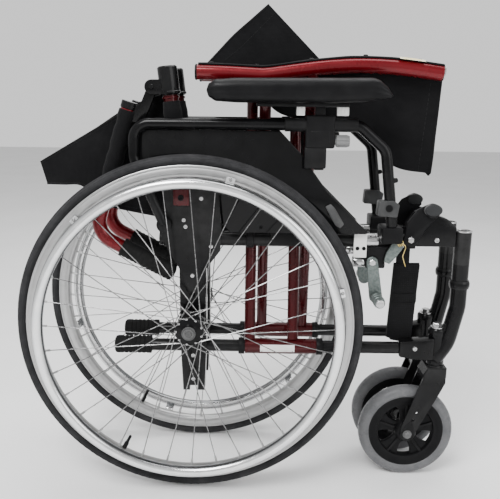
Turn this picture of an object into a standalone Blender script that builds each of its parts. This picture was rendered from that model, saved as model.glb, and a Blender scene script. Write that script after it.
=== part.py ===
"""A manual wheelchair with a scissor-folding frame, modelled folded, as it is stored.

Lengths are metres. Shapes are drawn about the rear axle: X runs forward, +Y is the chair's left
and Z runs up from the floor. Everything hangs from one empty, which moves the middle of the
chair's footprint to the world origin. Each moving body has an empty on its joint axis.
"""

import math

import bmesh
import bpy
from mathutils import Matrix, Vector

GAP = 0.0003
HUB_TO_MIDDLE = 0.0965
WHEEL_STEPS = 36
CASTER_STEPS = 24

# side frames and scissor brace
FRAME_Y = 0.045
TUBE = 0.0125
UPPER_Z = 0.449
LOWER_Z = 0.250
LOWER_TUBE = 0.011
BRACE_LOWER = 0.250
BRACE_UPPER = 0.236
BRACE_OPEN = math.radians(58.0)
STRUT = 0.010
SLEEVE = 0.014
STRUT_X = {"right": (0.103, 0.181), "left": (0.125, 0.203)}
SLEEVE_X = (0.094, 0.224)

# backrest
LEAN = math.radians(6.5)
CANE_FOOT = Vector((-0.0165, 0.0, 0.535))
CANE_PIVOT = Vector((-0.0646, 0.0, 0.707))
CANE_FOLD = math.radians(156.9)
STUB_TOP = 0.741

# rear wheels
WHEEL_R = 0.300
WHEEL_Y = 0.095
HANDRIM_R = 0.2553
HANDRIM_Y = 0.130
HANDRIM_TUBE = 0.0095
SPOKES = 36

# casters
CASTER_R = 0.0875
CASTER_Y = 0.042
STEM_X = 0.443
CASTER_X = 0.396
HEAD_R = 0.0155
FRONT_TUBE = 0.0145
FRONT_X = 0.475

# armrest
ARM_Y = 0.0715
ARM_TUBE = 0.0095
ARM_PIVOT = Vector((-0.045, 0.0, 0.478))
CLAMP_X = 0.2155

# wheel lock
LEVER_PIVOT = Vector((0.379, 0.0, 0.455))
SHOE_PIVOT = Vector((0.315, 0.0, 0.414))
SHOE_BAR = Vector((0.324, 0.0, 0.352))
LOCK_PLATE = (0.0609, 0.0655)

SIDES = {"right": -1, "left": 1}

COLOURS = {
    "black_paint": ((0.012, 0.012, 0.014), 0.3, 0.0),
    "red_paint": ((0.32, 0.012, 0.02), 0.3, 0.35),
    "black_plastic": ((0.015, 0.015, 0.016), 0.4, 0.0),
    "gloss_plastic": ((0.01, 0.01, 0.012), 0.12, 0.0),
    "fabric": ((0.012, 0.012, 0.013), 0.9, 0.0),
    "pad": ((0.02, 0.02, 0.021), 0.6, 0.0),
    "grip": ((0.015, 0.015, 0.015), 0.8, 0.0),
    "tyre": ((0.045, 0.045, 0.048), 0.75, 0.0),
    "caster_tyre": ((0.19, 0.19, 0.2), 0.35, 0.0),
    "silver": ((0.72, 0.72, 0.7), 0.35, 0.8),
    "steel": ((0.6, 0.6, 0.6), 0.25, 1.0),
    "cast_metal": ((0.3, 0.32, 0.32), 0.45, 0.6),
}


def clear_scene():
    for obj in list(bpy.data.objects):
        bpy.data.objects.remove(obj, do_unlink=True)


def material(name):
    found = bpy.data.materials.get(name)
    if found:
        return found
    colour, roughness, metallic = COLOURS[name]
    made = bpy.data.materials.new(name)
    made.use_nodes = True
    shader = made.node_tree.nodes["Principled BSDF"]
    shader.inputs["Base Color"].default_value = (*colour, 1.0)
    shader.inputs["Roughness"].default_value = roughness
    shader.inputs["Metallic"].default_value = metallic
    return made


def link(obj, finish):
    bpy.context.collection.objects.link(obj)
    if finish:
        obj.data.materials.append(material(finish))
    return obj


def from_bmesh(name, bm, finish, smooth=True):
    bmesh.ops.recalc_face_normals(bm, faces=bm.faces)
    mesh = bpy.data.meshes.new(name)
    bm.to_mesh(mesh)
    bm.free()
    if smooth:
        mesh.shade_smooth()
        mesh.set_sharp_from_angle(angle=math.radians(35))
    return link(bpy.data.objects.new(name, mesh), finish)


# ---- shapes ----


def rounded(points, bend, steps=5):
    """A path whose inner corners are arcs of radius bend."""
    path = [Vector(points[0])]
    for before, corner, after in zip(points, points[1:], points[2:]):
        corner = Vector(corner)
        back = (Vector(before) - corner).normalized()
        ahead = (Vector(after) - corner).normalized()
        half = back.angle(ahead) / 2
        cut = bend / math.tan(half)
        middle = corner + (back + ahead).normalized() * bend / math.sin(half)
        first = (corner + back * cut - middle).normalized()
        last = (corner + ahead * cut - middle).normalized()
        for step in range(steps + 1):
            path.append(middle + first.slerp(last, step / steps) * bend)
    path.append(Vector(points[-1]))
    return path


def sweep(name, path, radius, finish, sides=12):
    """A round bar along a path."""
    curve = bpy.data.curves.new(name, "CURVE")
    curve.dimensions = "3D"
    curve.bevel_depth = radius
    curve.bevel_resolution = (sides - 4) // 2
    curve.use_fill_caps = True
    spline = curve.splines.new("POLY")
    spline.points.add(len(path) - 1)
    for point, place in zip(spline.points, path):
        point.co = (*place, 1.0)
    bar = bpy.data.objects.new(name, curve)
    bpy.context.collection.objects.link(bar)
    mesh = bpy.data.meshes.new_from_object(bar.evaluated_get(bpy.context.evaluated_depsgraph_get()))
    bpy.data.objects.remove(bar)
    bpy.data.curves.remove(curve)
    bm = bmesh.new()
    bm.from_mesh(mesh)
    bpy.data.meshes.remove(mesh)
    bmesh.ops.remove_doubles(bm, verts=bm.verts, dist=1e-6)
    return from_bmesh(name, bm, finish)


def bar(name, start, end, radius, finish, sides=12):
    return sweep(name, [Vector(start), Vector(end)], radius, finish, sides)


def turned(name, profile, centre, axis, finish, steps=32):
    """A closed outline of (radius, distance along the axis), turned about that axis."""
    along = {"X": Vector((1, 0, 0)), "Y": Vector((0, 1, 0)), "Z": Vector((0, 0, 1))}[axis]
    across = Vector((0, 0, 1)) if axis != "Z" else Vector((1, 0, 0))
    bm = bmesh.new()
    ring = [bm.verts.new(across * radius + along * reach) for radius, reach in profile]
    edges = [bm.edges.new((ring[i - 1], ring[i])) for i in range(len(ring))]
    bmesh.ops.spin(
        bm, geom=ring + edges, cent=(0, 0, 0), axis=along, angle=math.tau, steps=steps, use_merge=True
    )
    bmesh.ops.remove_doubles(bm, verts=bm.verts, dist=1e-6)
    loose = [edge for edge in bm.edges if not edge.link_faces]
    bmesh.ops.delete(bm, geom=loose, context="EDGES")
    bmesh.ops.translate(bm, verts=bm.verts, vec=Vector(centre))
    return from_bmesh(name, bm, finish)


def block(name, low, high, finish, bevel=0.0):
    low, high = Vector(low), Vector(high)
    bm = bmesh.new()
    bmesh.ops.create_cube(bm, size=1.0)
    size = high - low
    place = Matrix.Translation((low + high) / 2) @ Matrix.Diagonal((*[abs(v) for v in size], 1.0))
    bmesh.ops.transform(bm, matrix=place, verts=bm.verts)
    if bevel:
        bmesh.ops.bevel(bm, geom=bm.edges[:], offset=bevel, segments=1, affect="EDGES")
    return from_bmesh(name, bm, finish, smooth=False)


def slab(name, outline, side, near, far, finish, bevel=0.0):
    """An outline of (x, z) points, thick from near to far on one side of the chair."""
    bm = bmesh.new()
    face = bm.faces.new([bm.verts.new((x, side * near, z)) for x, z in outline])
    grown = bmesh.ops.extrude_face_region(bm, geom=[face])
    moved = [item for item in grown["geom"] if isinstance(item, bmesh.types.BMVert)]
    bmesh.ops.translate(bm, verts=moved, vec=(0, side * (far - near), 0))
    if bevel:
        rims = [e for e in bm.edges if abs(e.verts[0].co.y - e.verts[1].co.y) < 1e-9]
        bmesh.ops.bevel(bm, geom=rims, offset=bevel, segments=1, affect="EDGES")
    return from_bmesh(name, bm, finish, smooth=False)


def arc(centre, radius, first, last, steps):
    """Points (x, z) on an arc, angles in degrees from +X towards +Z."""
    angles = [math.radians(first + (last - first) * i / steps) for i in range(steps + 1)]
    return [(centre[0] + radius * math.cos(a), centre[1] + radius * math.sin(a)) for a in angles]


def cloth(name, edge, crease, thick, cells):
    """A thin sheet between two lines of points."""
    bm = bmesh.new()
    rows = []
    for i in range(cells[0] + 1):
        start = along_line(edge, i / cells[0])
        end = along_line(crease, i / cells[0])
        row = []
        for j in range(cells[1] + 1):
            row.append(bm.verts.new(start.lerp(end, j / cells[1])))
        rows.append(row)
    for low, high in zip(rows, rows[1:]):
        for j in range(cells[1]):
            bm.faces.new((low[j], low[j + 1], high[j + 1], high[j]))
    sheet = from_bmesh(name, bm, "fabric")
    solid = sheet.modifiers.new("thickness", "SOLIDIFY")
    solid.thickness = thick
    solid.offset = 0.0
    return sheet


def along_line(points, part):
    """The point a given part of the way along a line of points, by count."""
    place = part * (len(points) - 1)
    first = min(int(place), len(points) - 2)
    return Vector(points[first]).lerp(Vector(points[first + 1]), place - first)


def helper(obj):
    obj.hide_render = True
    obj.display_type = "WIRE"
    return obj


def combine(target, others, operation):
    for other in others:
        change = target.modifiers.new(operation.lower(), "BOOLEAN")
        change.operation = operation
        change.object = helper(other)
    return target


def join(target, *others):
    return combine(target, others, "UNION")


def cut(target, *cutters):
    return combine(target, cutters, "DIFFERENCE")


# ---- bodies ----

CHAIR = {}


def body(name, pivot=(0, 0, 0), parent="chair"):
    """An empty on a joint axis. Objects under it keep coordinates about the rear axle."""
    empty = bpy.data.objects.new(name, None)
    bpy.context.collection.objects.link(empty)
    pivot = Vector(pivot)
    if name == "chair":
        empty.location = (-HUB_TO_MIDDLE, 0, 0)
        CHAIR[name] = (empty, Vector((0, 0, 0)))
        return name
    parent_empty, parent_pivot = CHAIR[parent]
    empty.parent = parent_empty
    empty.location = pivot - parent_pivot
    CHAIR[name] = (empty, pivot)
    return name


def hang(body_name, *objects):
    """Put objects and their boolean helpers under a body."""
    empty, pivot = CHAIR[body_name]
    for obj in objects:
        obj.parent = empty
        obj.location = -pivot
        hang(body_name, *[m.object for m in obj.modifiers if m.type == "BOOLEAN"])


# ---- side frame ----


def frame_tubes(word, side, home):
    y = side * FRAME_Y
    upper = bar(f"{word}_upper_tube", (-0.057, y, UPPER_Z), (0.3897, y, UPPER_Z), TUBE, "black_paint", 16)
    seat = block(f"{word}_rail_seat_shape", (0.138, y - 0.014, 0.440), (0.190, y + 0.014, 0.4945), None)
    low, high = (0.326, side * 0.0340, 0.4500), (0.362, side * 0.0815, 0.4780)
    receiver = block(f"{word}_arm_receiver_shape", low, high, None, 0.002)
    join(upper, seat, receiver)
    lower = bar(
        f"{word}_lower_tube", (-0.100, y, LOWER_Z), (0.3737, y, LOWER_Z), LOWER_TUBE, "black_paint", 16
    )
    tip_outline = [(0.0, -0.142), (0.0135, -0.142), (0.016, -0.139), (0.016, -0.076)]
    tip_outline += [(LOWER_TUBE + GAP * 2, -0.076), (LOWER_TUBE + GAP * 2, -0.1003), (0.0, -0.1003)]
    tip = turned(f"{word}_rear_tip", tip_outline, (0, y, LOWER_Z), "X", "grip", 16)
    hang(home, upper, lower, tip)


def front_tube(word, side, home):
    y = side * FRAME_Y
    path = rounded([(FRONT_X, y, 0.468), (FRONT_X, y, 0.335), (0.452, y, 0.241)], 0.11, 6)
    tube = sweep(f"{word}_front_tube", path, FRONT_TUBE, "black_paint", 16)
    profile = [(0.010, -0.0075), (0.0165, -0.0075), (0.018, -0.003)]
    profile += [(0.018, 0.003), (0.0165, 0.0075), (0.010, 0.0075)]
    ring = turned(f"{word}_front_ring_shape", profile, (FRONT_X, y, 0.372), "Z", None, 16)
    outline = [(0.390, 0.441), (0.466, 0.441), (0.466, 0.474), (0.444, 0.492), (0.418, 0.4985)]
    outline.append((0.403, 0.490))
    outline.append((0.390, 0.466))
    lug = slab(f"{word}_front_lug_shape", outline, side, 0.033, 0.057, None, 0.002)
    socket = bar(f"{word}_socket_shape", (FRONT_X, y, 0.408), (FRONT_X, y, 0.480), 0.0115, None, 16)
    head = bar(
        f"{word}_head_clearance", (STEM_X, side * CASTER_Y, 0.20), (STEM_X, side * CASTER_Y, 0.30),
        HEAD_R + GAP * 2, None, 24,
    )
    join(tube, ring, lug)
    cut(tube, socket, head)
    hang(home, tube)


def caster_housing(word, side, home):
    y = side * CASTER_Y
    head = turned(
        f"{word}_caster_housing",
        [(0, 0.2185), (HEAD_R, 0.2185), (HEAD_R, 0.286), (0.0125, 0.290), (0, 0.290)],
        (STEM_X, y, 0),
        "Z",
        "black_paint",
        24,
    )
    outline = [(0.374, 0.236), (0.400, 0.231), (0.436, 0.229), (0.436, 0.272), (0.418, 0.268)]
    outline.append((0.374, 0.265))
    lug = slab(f"{word}_caster_lug_shape", outline, side, 0.031, 0.058, None, 0.003)
    join(head, lug)
    hang(home, head)


def axle_post(word, side, home):
    """The axle channel and the gusset that ties it to the upper tube, with the wheel's axle."""
    y = side * FRAME_Y
    channel = [(-0.018, 0.167), (-0.006, 0.167), (-0.006, 0.176), (0.008, 0.176), (0.008, 0.167)]
    channel += [(0.021, 0.167), (0.025, 0.262), (0.025, 0.418), (-0.022, 0.418), (-0.022, 0.262)]
    post = slab(f"{word}_axle_post", channel, side, 0.0300, 0.0600, "black_paint", 0.002)
    plate = [(-0.021, 0.396), (0.024, 0.396), (0.050, 0.430), (0.052, 0.470), (0.046, 0.545)]
    plate += [(-0.034, 0.552), (-0.046, 0.540), (-0.057, 0.466), (-0.040, 0.428)]
    gusset = slab(f"{word}_gusset_shape", plate, side, 0.0578, 0.0600, None)
    axle = bar(f"{word}_axle_shape", (0, side * 0.050, WHEEL_R), (0, side * 0.1220, WHEEL_R), 0.006, None)
    lower = bar(
        f"{word}_lower_tube_clearance", (-0.08, y, LOWER_Z), (0.08, y, LOWER_Z), LOWER_TUBE + GAP * 2,
        None, 16,
    )
    join(post, gusset, axle)
    cut(post, lower)
    for index, height in enumerate((0.210, 0.350)):
        inside, outside = (0.001, 0, height), (0.001, side * 0.1, height)
        hole = bar(f"{word}_axle_hole_{index}", inside, outside, 0.0055, None)
        cut(post, hole)
    hang(home, post)


def back_cane(word, side, home):
    """The fixed lower cane with its foot clamp, and the cup and clevis of the cane hinge."""
    y = side * FRAME_Y
    lean = Vector((-math.sin(LEAN), 0, math.cos(LEAN)))
    centre = CANE_FOOT + Vector((0, y, 0))
    low = centre + lean * ((0.4630 - CANE_FOOT.z) / lean.z)
    high = centre + lean * ((0.736 - CANE_FOOT.z) / lean.z)
    cane = bar(f"{word}_back_cane", low, high, TUBE, "red_paint", 16)
    foot = block(
        f"{word}_cane_foot_shape", (-0.032, y - 0.0122, 0.508), (-0.001, y + 0.0122, 0.553), None, 0.002
    )
    cup_low = centre + lean * ((0.694 - CANE_FOOT.z) / lean.z)
    cup_high = centre + lean * ((STUB_TOP - CANE_FOOT.z) / lean.z)
    cup = bar(f"{word}_hinge_cup_shape", cup_low, cup_high, 0.0165, None, 16)
    px, pz = CANE_PIVOT.x, CANE_PIVOT.z
    ear = [(-0.034, pz + 0.012), (px, pz + 0.012)] + arc((px, pz), 0.012, 110, 250, 6)
    ear += [(px, pz - 0.012), (-0.034, pz - 0.012)]
    ears = []
    for index, (near, far) in enumerate(((0.0330, 0.0370), (0.0530, 0.0570))):
        ears.append(slab(f"{word}_clevis_shape_{index}", ear, side, near, far, None))
    pin = bar(f"{word}_pivot_pin_shape", (px, side * 0.0335, pz), (px, side * 0.0565, pz), 0.004, None)
    join(cane, foot, cup, *ears, pin)
    hang(home, cane)


# ---- wheel lock ----


def brake_parts(word, side, home):
    lever_body = body(f"{word}_brake_lever_body", LEVER_PIVOT, home)
    shoe_body = body(f"{word}_brake_shoe_body", SHOE_PIVOT, home)
    near, far = LOCK_PLATE
    base = block(
        f"{word}_brake_bracket", (0.300, side * 0.034, 0.402), (0.3895, side * 0.0605, 0.4360),
        "black_plastic", 0.002,
    )
    low, high = (0.366, side * 0.0580, 0.410), (0.3885, side * 0.0603, 0.470)
    ear = block(f"{word}_lever_ear_shape", low, high, None)
    pins = []
    for index, pivot in enumerate((LEVER_PIVOT, SHOE_PIVOT)):
        start, end = (pivot.x, side * 0.0585, pivot.z), (pivot.x, side * 0.067, pivot.z)
        pins.append(bar(f"{word}_lock_pin_shape_{index}", start, end, 0.004, None))
    join(base, ear, *pins)
    hang(home, base)

    px, pz = LEVER_PIVOT.x, LEVER_PIVOT.z
    outline = arc((px, pz), 0.013, 150, 330, 6) + [(0.404, 0.474), (0.426, 0.498), (0.424, 0.512)]
    outline += [(0.404, 0.516), (0.388, 0.508), (0.372, 0.486)]
    lever = slab(f"{word}_brake_lever", outline, side, near, far, "black_plastic", 0.001)
    knob = slab(
        f"{word}_lever_knob_shape", [(x, z) for x, z in arc((0.413, 0.506), 0.0125, 0, 337.5, 15)],
        side, 0.0600, 0.0740, None, 0.002,
    )
    join(lever, knob)
    cut(lever, bar(f"{word}_lever_hole", (px, 0, pz), (px, side * 0.1, pz), 0.0046, None))
    hang(lever_body, lever)

    sx, sz = SHOE_PIVOT.x, SHOE_PIVOT.z
    arm = arc((sx, sz), 0.010, 0, 180, 6) + arc((SHOE_BAR.x, SHOE_BAR.z), 0.0115, 180, 360, 6)
    shoe = slab(f"{word}_brake_shoe", arm, side, near, far, "cast_metal", 0.001)
    rod = bar(
        f"{word}_shoe_bar_shape", (SHOE_BAR.x, side * (near + 0.001), SHOE_BAR.z),
        (SHOE_BAR.x, side * 0.106, SHOE_BAR.z), 0.009, None, 16,
    )
    join(shoe, rod)
    cut(shoe, bar(f"{word}_shoe_hole", (sx, 0, sz), (sx, side * 0.1, sz), 0.0046, None))
    hang(shoe_body, shoe)


# ---- armrest ----


def arm_path(side):
    y = side * ARM_Y
    corners = [(0.344, y, 0.4800), (0.327, y, 0.607), (0.281, y, 0.6480), (-0.094, y, 0.6480)]
    corners += [(-0.094, y, 0.560), (ARM_PIVOT.x, y, ARM_PIVOT.z)]
    return rounded(corners, 0.030, 4)


def armrest(word, side, home):
    arm_body = body(f"{word}_armrest", ARM_PIVOT, home)
    pad_body = body(f"{word}_arm_pad_body", (CLAMP_X, side * ARM_Y, 0.64), arm_body)
    y = side * ARM_Y
    tube = sweep(f"{word}_arm_tube", arm_path(side), ARM_TUBE, "black_paint", 12)
    clamp = block(
        f"{word}_clamp_shape", (0.1915, y - side * 0.0099, 0.6100), (0.2405, y + side * 0.0099, 0.6640),
        None, 0.003,
    )
    collars = []
    for index, (start, end) in enumerate(((0.157, 0.194), (0.2375, 0.2600))):
        collars.append(
            bar(f"{word}_collar_shape_{index}", (start, y, 0.648), (end, y, 0.648), 0.0109, None, 16)
        )
    eye = slab(
        f"{word}_arm_eye_shape", arc((ARM_PIVOT.x, ARM_PIVOT.z), 0.013, 0, 337.5, 15), side, 0.0630, 0.0800,
        None, 0.002,
    )
    low, high = (CLAMP_X - 0.0084, y - side * 0.0054, 0.60), (CLAMP_X + 0.0084, y + side * 0.0054, 0.70)
    slot = block(f"{word}_post_slot", low, high, None)
    join(tube, clamp, *collars, eye)
    cut(tube, slot)

    outline = [(-0.086, 0.600), (-0.080, 0.640), (0.150, 0.6400), (0.186, 0.600), (0.230, 0.540)]
    outline += [(0.305, 0.466), (0.300, 0.4645), (0.060, 0.4645), (-0.010, 0.4700), (-0.060, 0.516)]
    guard = slab(f"{word}_side_guard", outline, side, 0.0660, 0.0700, "gloss_plastic")
    cut(guard, sweep(f"{word}_arm_tube_clearance", arm_path(side), ARM_TUBE + 0.0006, None, 12))
    hang(arm_body, tube, guard)

    low, high = (CLAMP_X - 0.008, y - side * 0.005, 0.5740), (CLAMP_X + 0.008, y + side * 0.005, 0.6790)
    post = block(f"{word}_pad_post", low, high, "red_paint")
    plate = block(
        f"{word}_pad_plate_shape", (0.110, side * 0.0640, 0.6770), (0.262, side * 0.0840, 0.6820), None
    )
    join(post, plate)
    hang(pad_body, post)
    hang(pad_body, arm_pad(word, side))


def arm_pad(word, side):
    """A long cushion with a round back end and a nose that slopes down at the front."""
    top = [(0.329, 0.6985), (0.316, 0.7115), (0.301, 0.7215), (0.060, 0.7215), (0.040, 0.716)]
    under = [(0.030, 0.704), (0.031, 0.692), (0.042, 0.6845), (0.110, 0.6825), (0.270, 0.6835), (0.318, 0.690)]
    return slab(f"{word}_arm_pad", top + under, side, 0.0625, 0.1130, "pad", 0.005)


# ---- rear wheel ----


def mirrored(half):
    """A closed wheel outline from its half at positive distances."""
    return half + [(r, -a) for r, a in reversed(half)]


def rear_wheel(word, side, home):
    wheel = body(f"{word}_rear_wheel", (0, side * WHEEL_Y, WHEEL_R), home)
    centre = (0, side * WHEEL_Y, WHEEL_R)
    half = [(0.2712, 0.0076), (0.2848, 0.0076), (0.2900, 0.0125), (WHEEL_R, 0.0045)]
    tyre = turned(f"{word}_tyre", mirrored(half), centre, "Y", "tyre", WHEEL_STEPS)
    outer = [(0.2840, 0.0105), (0.2660, 0.0105), (0.2610, 0.0050)]
    inner = [(0.2705, 0.0079), (0.2840, 0.0079)]
    profile = mirrored(outer) + [(r, -a) for r, a in reversed(inner)] + inner
    rim = turned(f"{word}_rim", profile, centre, "Y", "silver", WHEEL_STEPS)
    hang(wheel, tyre, rim, handrim(word, side), hub(word, side))
    button_body = body(f"{word}_axle_button_body", (0, side * 0.1256, WHEEL_R), home)
    button = turned(
        f"{word}_axle_button",
        [(0, 0), (0.0056, 0), (0.0056, 0.0045), (0.0045, 0.0056), (0, 0.0056)]
        if side > 0 else [(0, -0.0056), (0.0045, -0.0056), (0.0056, -0.0045), (0.0056, 0), (0, 0)],
        (0, side * 0.1256, WHEEL_R),
        "Y",
        "steel",
        12,
    )
    hang(button_body, button)


def handrim(word, side):
    ring = [
        (HANDRIM_R + HANDRIM_TUBE * math.cos(a), HANDRIM_TUBE * math.sin(a))
        for a in (math.tau * i / 8 for i in range(8))
    ]
    rim = turned(f"{word}_handrim", ring, (0, side * HANDRIM_Y, WHEEL_R), "Y", "silver", WHEEL_STEPS)
    for index in range(6):
        turn = Matrix.Rotation(math.tau * (index + 0.25) / 6, 4, "Y")
        tab = block(
            f"{word}_handrim_tab_{index}",
            (-0.009, side * (WHEEL_Y + 0.0105 + GAP), HANDRIM_R + 0.004),
            (0.009, side * (HANDRIM_Y - 0.003), HANDRIM_R + 0.0072),
            None,
        )
        foot = [(-0.009, 0.2625), (0.009, 0.2625), (0.009, 0.2745), (-0.009, 0.2745)]
        near = WHEEL_Y + 0.0105 + GAP
        pad = slab(f"{word}_handrim_foot_{index}", foot, side, near, near + 0.003, None)
        for piece in (tab, pad):
            piece.data.transform(turn)
            piece.data.transform(Matrix.Translation((0, 0, WHEEL_R)))
        join(rim, tab, pad)
    return rim


def hub(word, side):
    """The hub shell, its two flanges and the tangent spokes laced into them."""
    y = side * WHEEL_Y
    half = [(0.0125, 0.0300), (0.0125, 0.0205), (0.0250, 0.0195), (0.0250, 0.0155)]
    profile = mirrored(half) + [(0.0068, -0.030), (0.0068, 0.030)]
    shell = turned(f"{word}_wheel_hub", profile, (0, y, WHEEL_R), "Y", "black_paint", 16)
    return join(shell, spokes(word, y))


def spokes(word, y):
    """All the spokes as one helper mesh: half on each flange, leading and trailing in turn."""
    bm = bmesh.new()
    pitch = math.tau / SPOKES
    for index in range(SPOKES):
        flange = 1 if index % 2 else -1
        trail = 1 if index % 4 < 2 else -1
        at_rim = pitch * index
        at_hub = at_rim + trail * math.radians(70)
        shift = flange * (0.018 + 0.0008 * trail)
        foot = Vector((0.0225 * math.sin(at_hub), shift, 0.0225 * math.cos(at_hub)))
        head = Vector((0.2604 * math.sin(at_rim), trail * 0.0012 * flange, 0.2604 * math.cos(at_rim)))
        length = (head - foot).length
        turn = (head - foot).to_track_quat("Z", "Y").to_matrix().to_4x4()
        place = Matrix.Translation(Vector((0, y, WHEEL_R)) + (foot + head) / 2) @ turn
        place = place @ Matrix.Diagonal((0.0018, 0.0018, length, 1.0))
        bmesh.ops.create_cube(bm, size=1.0, matrix=place)
    return from_bmesh(f"{word}_spokes_shape", bm, None, smooth=False)


# ---- caster ----


def caster(word, side, home):
    y = side * CASTER_Y
    fork_body = body(f"{word}_caster_fork_body", (STEM_X, y, 0.2), home)
    wheel_body = body(f"{word}_caster_wheel_body", (CASTER_X, y, CASTER_R), fork_body)
    crown = [(0.4250, 0.2180), (0.4600, 0.2180), (0.4600, 0.2000), (0.4520, 0.1850), (0.4180, 0.1850)]
    crown.append((0.4180, 0.2060))
    fork = slab(f"{word}_caster_fork", crown, 1, y - 0.0225, y + 0.0225, "black_paint", 0.002)
    leg = [(0.4590, 0.203), (0.4590, 0.190), (0.4500, 0.170), (0.411, CASTER_R + 0.004)]
    leg += arc((CASTER_X, CASTER_R), 0.0135, -15, -165, 5) + [(0.384, 0.100), (0.420, 0.203)]
    for index, offset in enumerate((-0.0222, 0.0182)):
        join(fork, slab(f"{word}_fork_leg_{index}", leg, 1, y + offset, y + offset + 0.004, None))
    ends = (CASTER_X, y - 0.0255, CASTER_R), (CASTER_X, y + 0.0255, CASTER_R)
    join(fork, bar(f"{word}_caster_axle_shape", *ends, 0.004, None))
    for index, (x, z) in enumerate(((0.4045, 0.116), (0.4105, 0.130))):
        cut(fork, bar(f"{word}_fork_hole_{index}", (x, y - 0.04, z), (x, y + 0.04, z), 0.003, None, 8))
    hang(fork_body, fork)

    centre = (CASTER_X, y, CASTER_R)
    profile = mirrored([(0.0695, 0.0110), (0.0740, 0.0140), (0.0820, 0.0135), (CASTER_R, 0.0050)])
    tyre = turned(f"{word}_caster_tyre", profile, centre, "Y", "caster_tyre", CASTER_STEPS)
    half = [(0.0690, 0.0110), (0.0590, 0.0110), (0.0570, 0.0045), (0.0170, 0.0055), (0.0150, 0.0165)]
    half.append((0.0048, 0.0165))
    disc = turned(f"{word}_caster_wheel", mirrored(half), centre, "Y", "black_plastic", CASTER_STEPS)
    for index in range(5):
        window = slab(f"{word}_caster_window_{index}", caster_window(), 1, y - 0.03, y + 0.03, None)
        turn = Matrix.Rotation(math.tau * index / 5, 4, "Y")
        window.data.transform(turn)
        window.data.transform(Matrix.Translation((CASTER_X, 0, CASTER_R)))
        cut(disc, window)
    hang(wheel_body, tyre, disc)


def caster_window():
    """One opening between two spokes of the caster wheel, about the wheel's centre."""
    outer = arc((0, 0), 0.0540, 64, 116, 5)
    inner = arc((0, 0), 0.0260, 108, 72, 2)
    return outer + inner


# ---- folding canes ----


def fold_down(obj):
    """Turn a piece drawn with the cane upright to where it lies with the cane folded."""
    turn = Matrix.Rotation(-CANE_FOLD, 4, "Y")
    obj.data.transform(Matrix.Translation(CANE_PIVOT) @ turn @ Matrix.Translation(-CANE_PIVOT))
    for change in obj.modifiers:
        if change.type == "BOOLEAN":
            fold_down(change.object)
    return obj


def folding_cane(word, side, home):
    cane_body = body(f"{word}_folding_cane_body", CANE_PIVOT, home)
    y = side * FRAME_Y
    start = Vector((-0.0390, y, 0.7450))
    corner = Vector((-0.0655, y, 0.9790))
    grip_end = Vector((-0.2155, y, 0.9905))
    path = rounded([start, corner, grip_end - Vector((0.002, 0, 0))], 0.038, 6)
    cane = sweep(f"{word}_folding_cane", path, TUBE, "red_paint", 16)
    px, pz = CANE_PIVOT.x, CANE_PIVOT.z
    knuckle = [(px + 0.0074, 0.7415), (-0.0500, 0.7470), (-0.0450, 0.7750), (px - 0.009, 0.7700)]
    knuckle += arc((px, pz), 0.009, 180, 325, 6)
    tongue = slab(f"{word}_tongue_shape", knuckle, side, 0.0376, 0.0524, None)
    join(cane, tongue)
    cut(cane, bar(f"{word}_tongue_hole", (px, 0, pz), (px, side * 0.1, pz), 0.0048, None))
    run = (grip_end - corner).normalized()
    grip_start = grip_end - run * 0.098
    grip = bar(f"{word}_push_grip", grip_start, grip_end + run * 0.006, 0.016, "grip", 16)
    cut(cane, bar(f"{word}_cane_end_clearance", grip_start - run * GAP, grip_end + run * 0.02, 0.03, None))
    hang(cane_body, fold_down(cane), fold_down(grip))
    return cane_body


# ---- scissor brace ----


def rail_path(y):
    """The seat rail: level behind, rising to a low hump in front."""
    points = []
    for index in range(11):
        x = 0.009 + 0.411 * index / 10
        wave = math.sin(math.pi * (x - 0.120) / 0.340) if x > 0.120 else 0.0
        rise = 0.017 * max(wave, 0.0) ** 1.2 + 0.004 * math.cos(math.pi * min(x, 0.12) / 0.24)
        points.append(Vector((x, y, rail_height() + rise)))
    return points


def rail_height():
    swing = FRAME_Y / BRACE_LOWER
    return LOWER_Z + (BRACE_LOWER + BRACE_UPPER) * math.sqrt(1 - swing * swing)


def brace(word, side, home):
    """Two struts welded to a sleeve on this side's lower tube and to the other side's seat rail."""
    foot_y = side * FRAME_Y
    rail_y = -side * FRAME_Y * BRACE_UPPER / BRACE_LOWER
    start, end = SLEEVE_X
    frame = bar(f"{word}_brace", (start, foot_y, LOWER_Z), (end, foot_y, LOWER_Z), SLEEVE, "red_paint", 12)
    for index, x in enumerate(STRUT_X[word]):
        strut = bar(
            f"{word}_strut_shape_{index}", (x, foot_y, LOWER_Z), (x, rail_y, rail_height()), STRUT, None
        )
        join(frame, strut)
    join(frame, sweep(f"{word}_rail_shape", rail_path(rail_y), TUBE, None, 12))
    bore = bar(
        f"{word}_sleeve_bore", (0, foot_y, LOWER_Z), (0.3, foot_y, LOWER_Z), LOWER_TUBE + 0.0008, None, 16
    )
    cut(frame, bore)
    centre_z = LOWER_Z + math.sqrt(BRACE_LOWER**2 - FRAME_Y**2)
    cut(frame, bar(f"{word}_brace_hole", (0.05, 0, centre_z), (0.25, 0, centre_z), 0.0046, None))
    hang(home, frame)
    return centre_z


def brace_axle(home, centre_z):
    """The long bolt through all four struts, with a head and a nut."""
    bolt = bar("brace_axle", (0.085, 0, centre_z), (0.221, 0, centre_z), 0.004, "steel")
    for index, x in enumerate((0.0895, 0.2165)):
        low, high = (x - 0.0025, 0, centre_z), (x + 0.0025, 0, centre_z)
        head = bar(f"brace_axle_end_{index}", low, high, 0.0075, None, 6)
        join(bolt, head)
    hang(home, bolt)


# ---- upholstery ----

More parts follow.
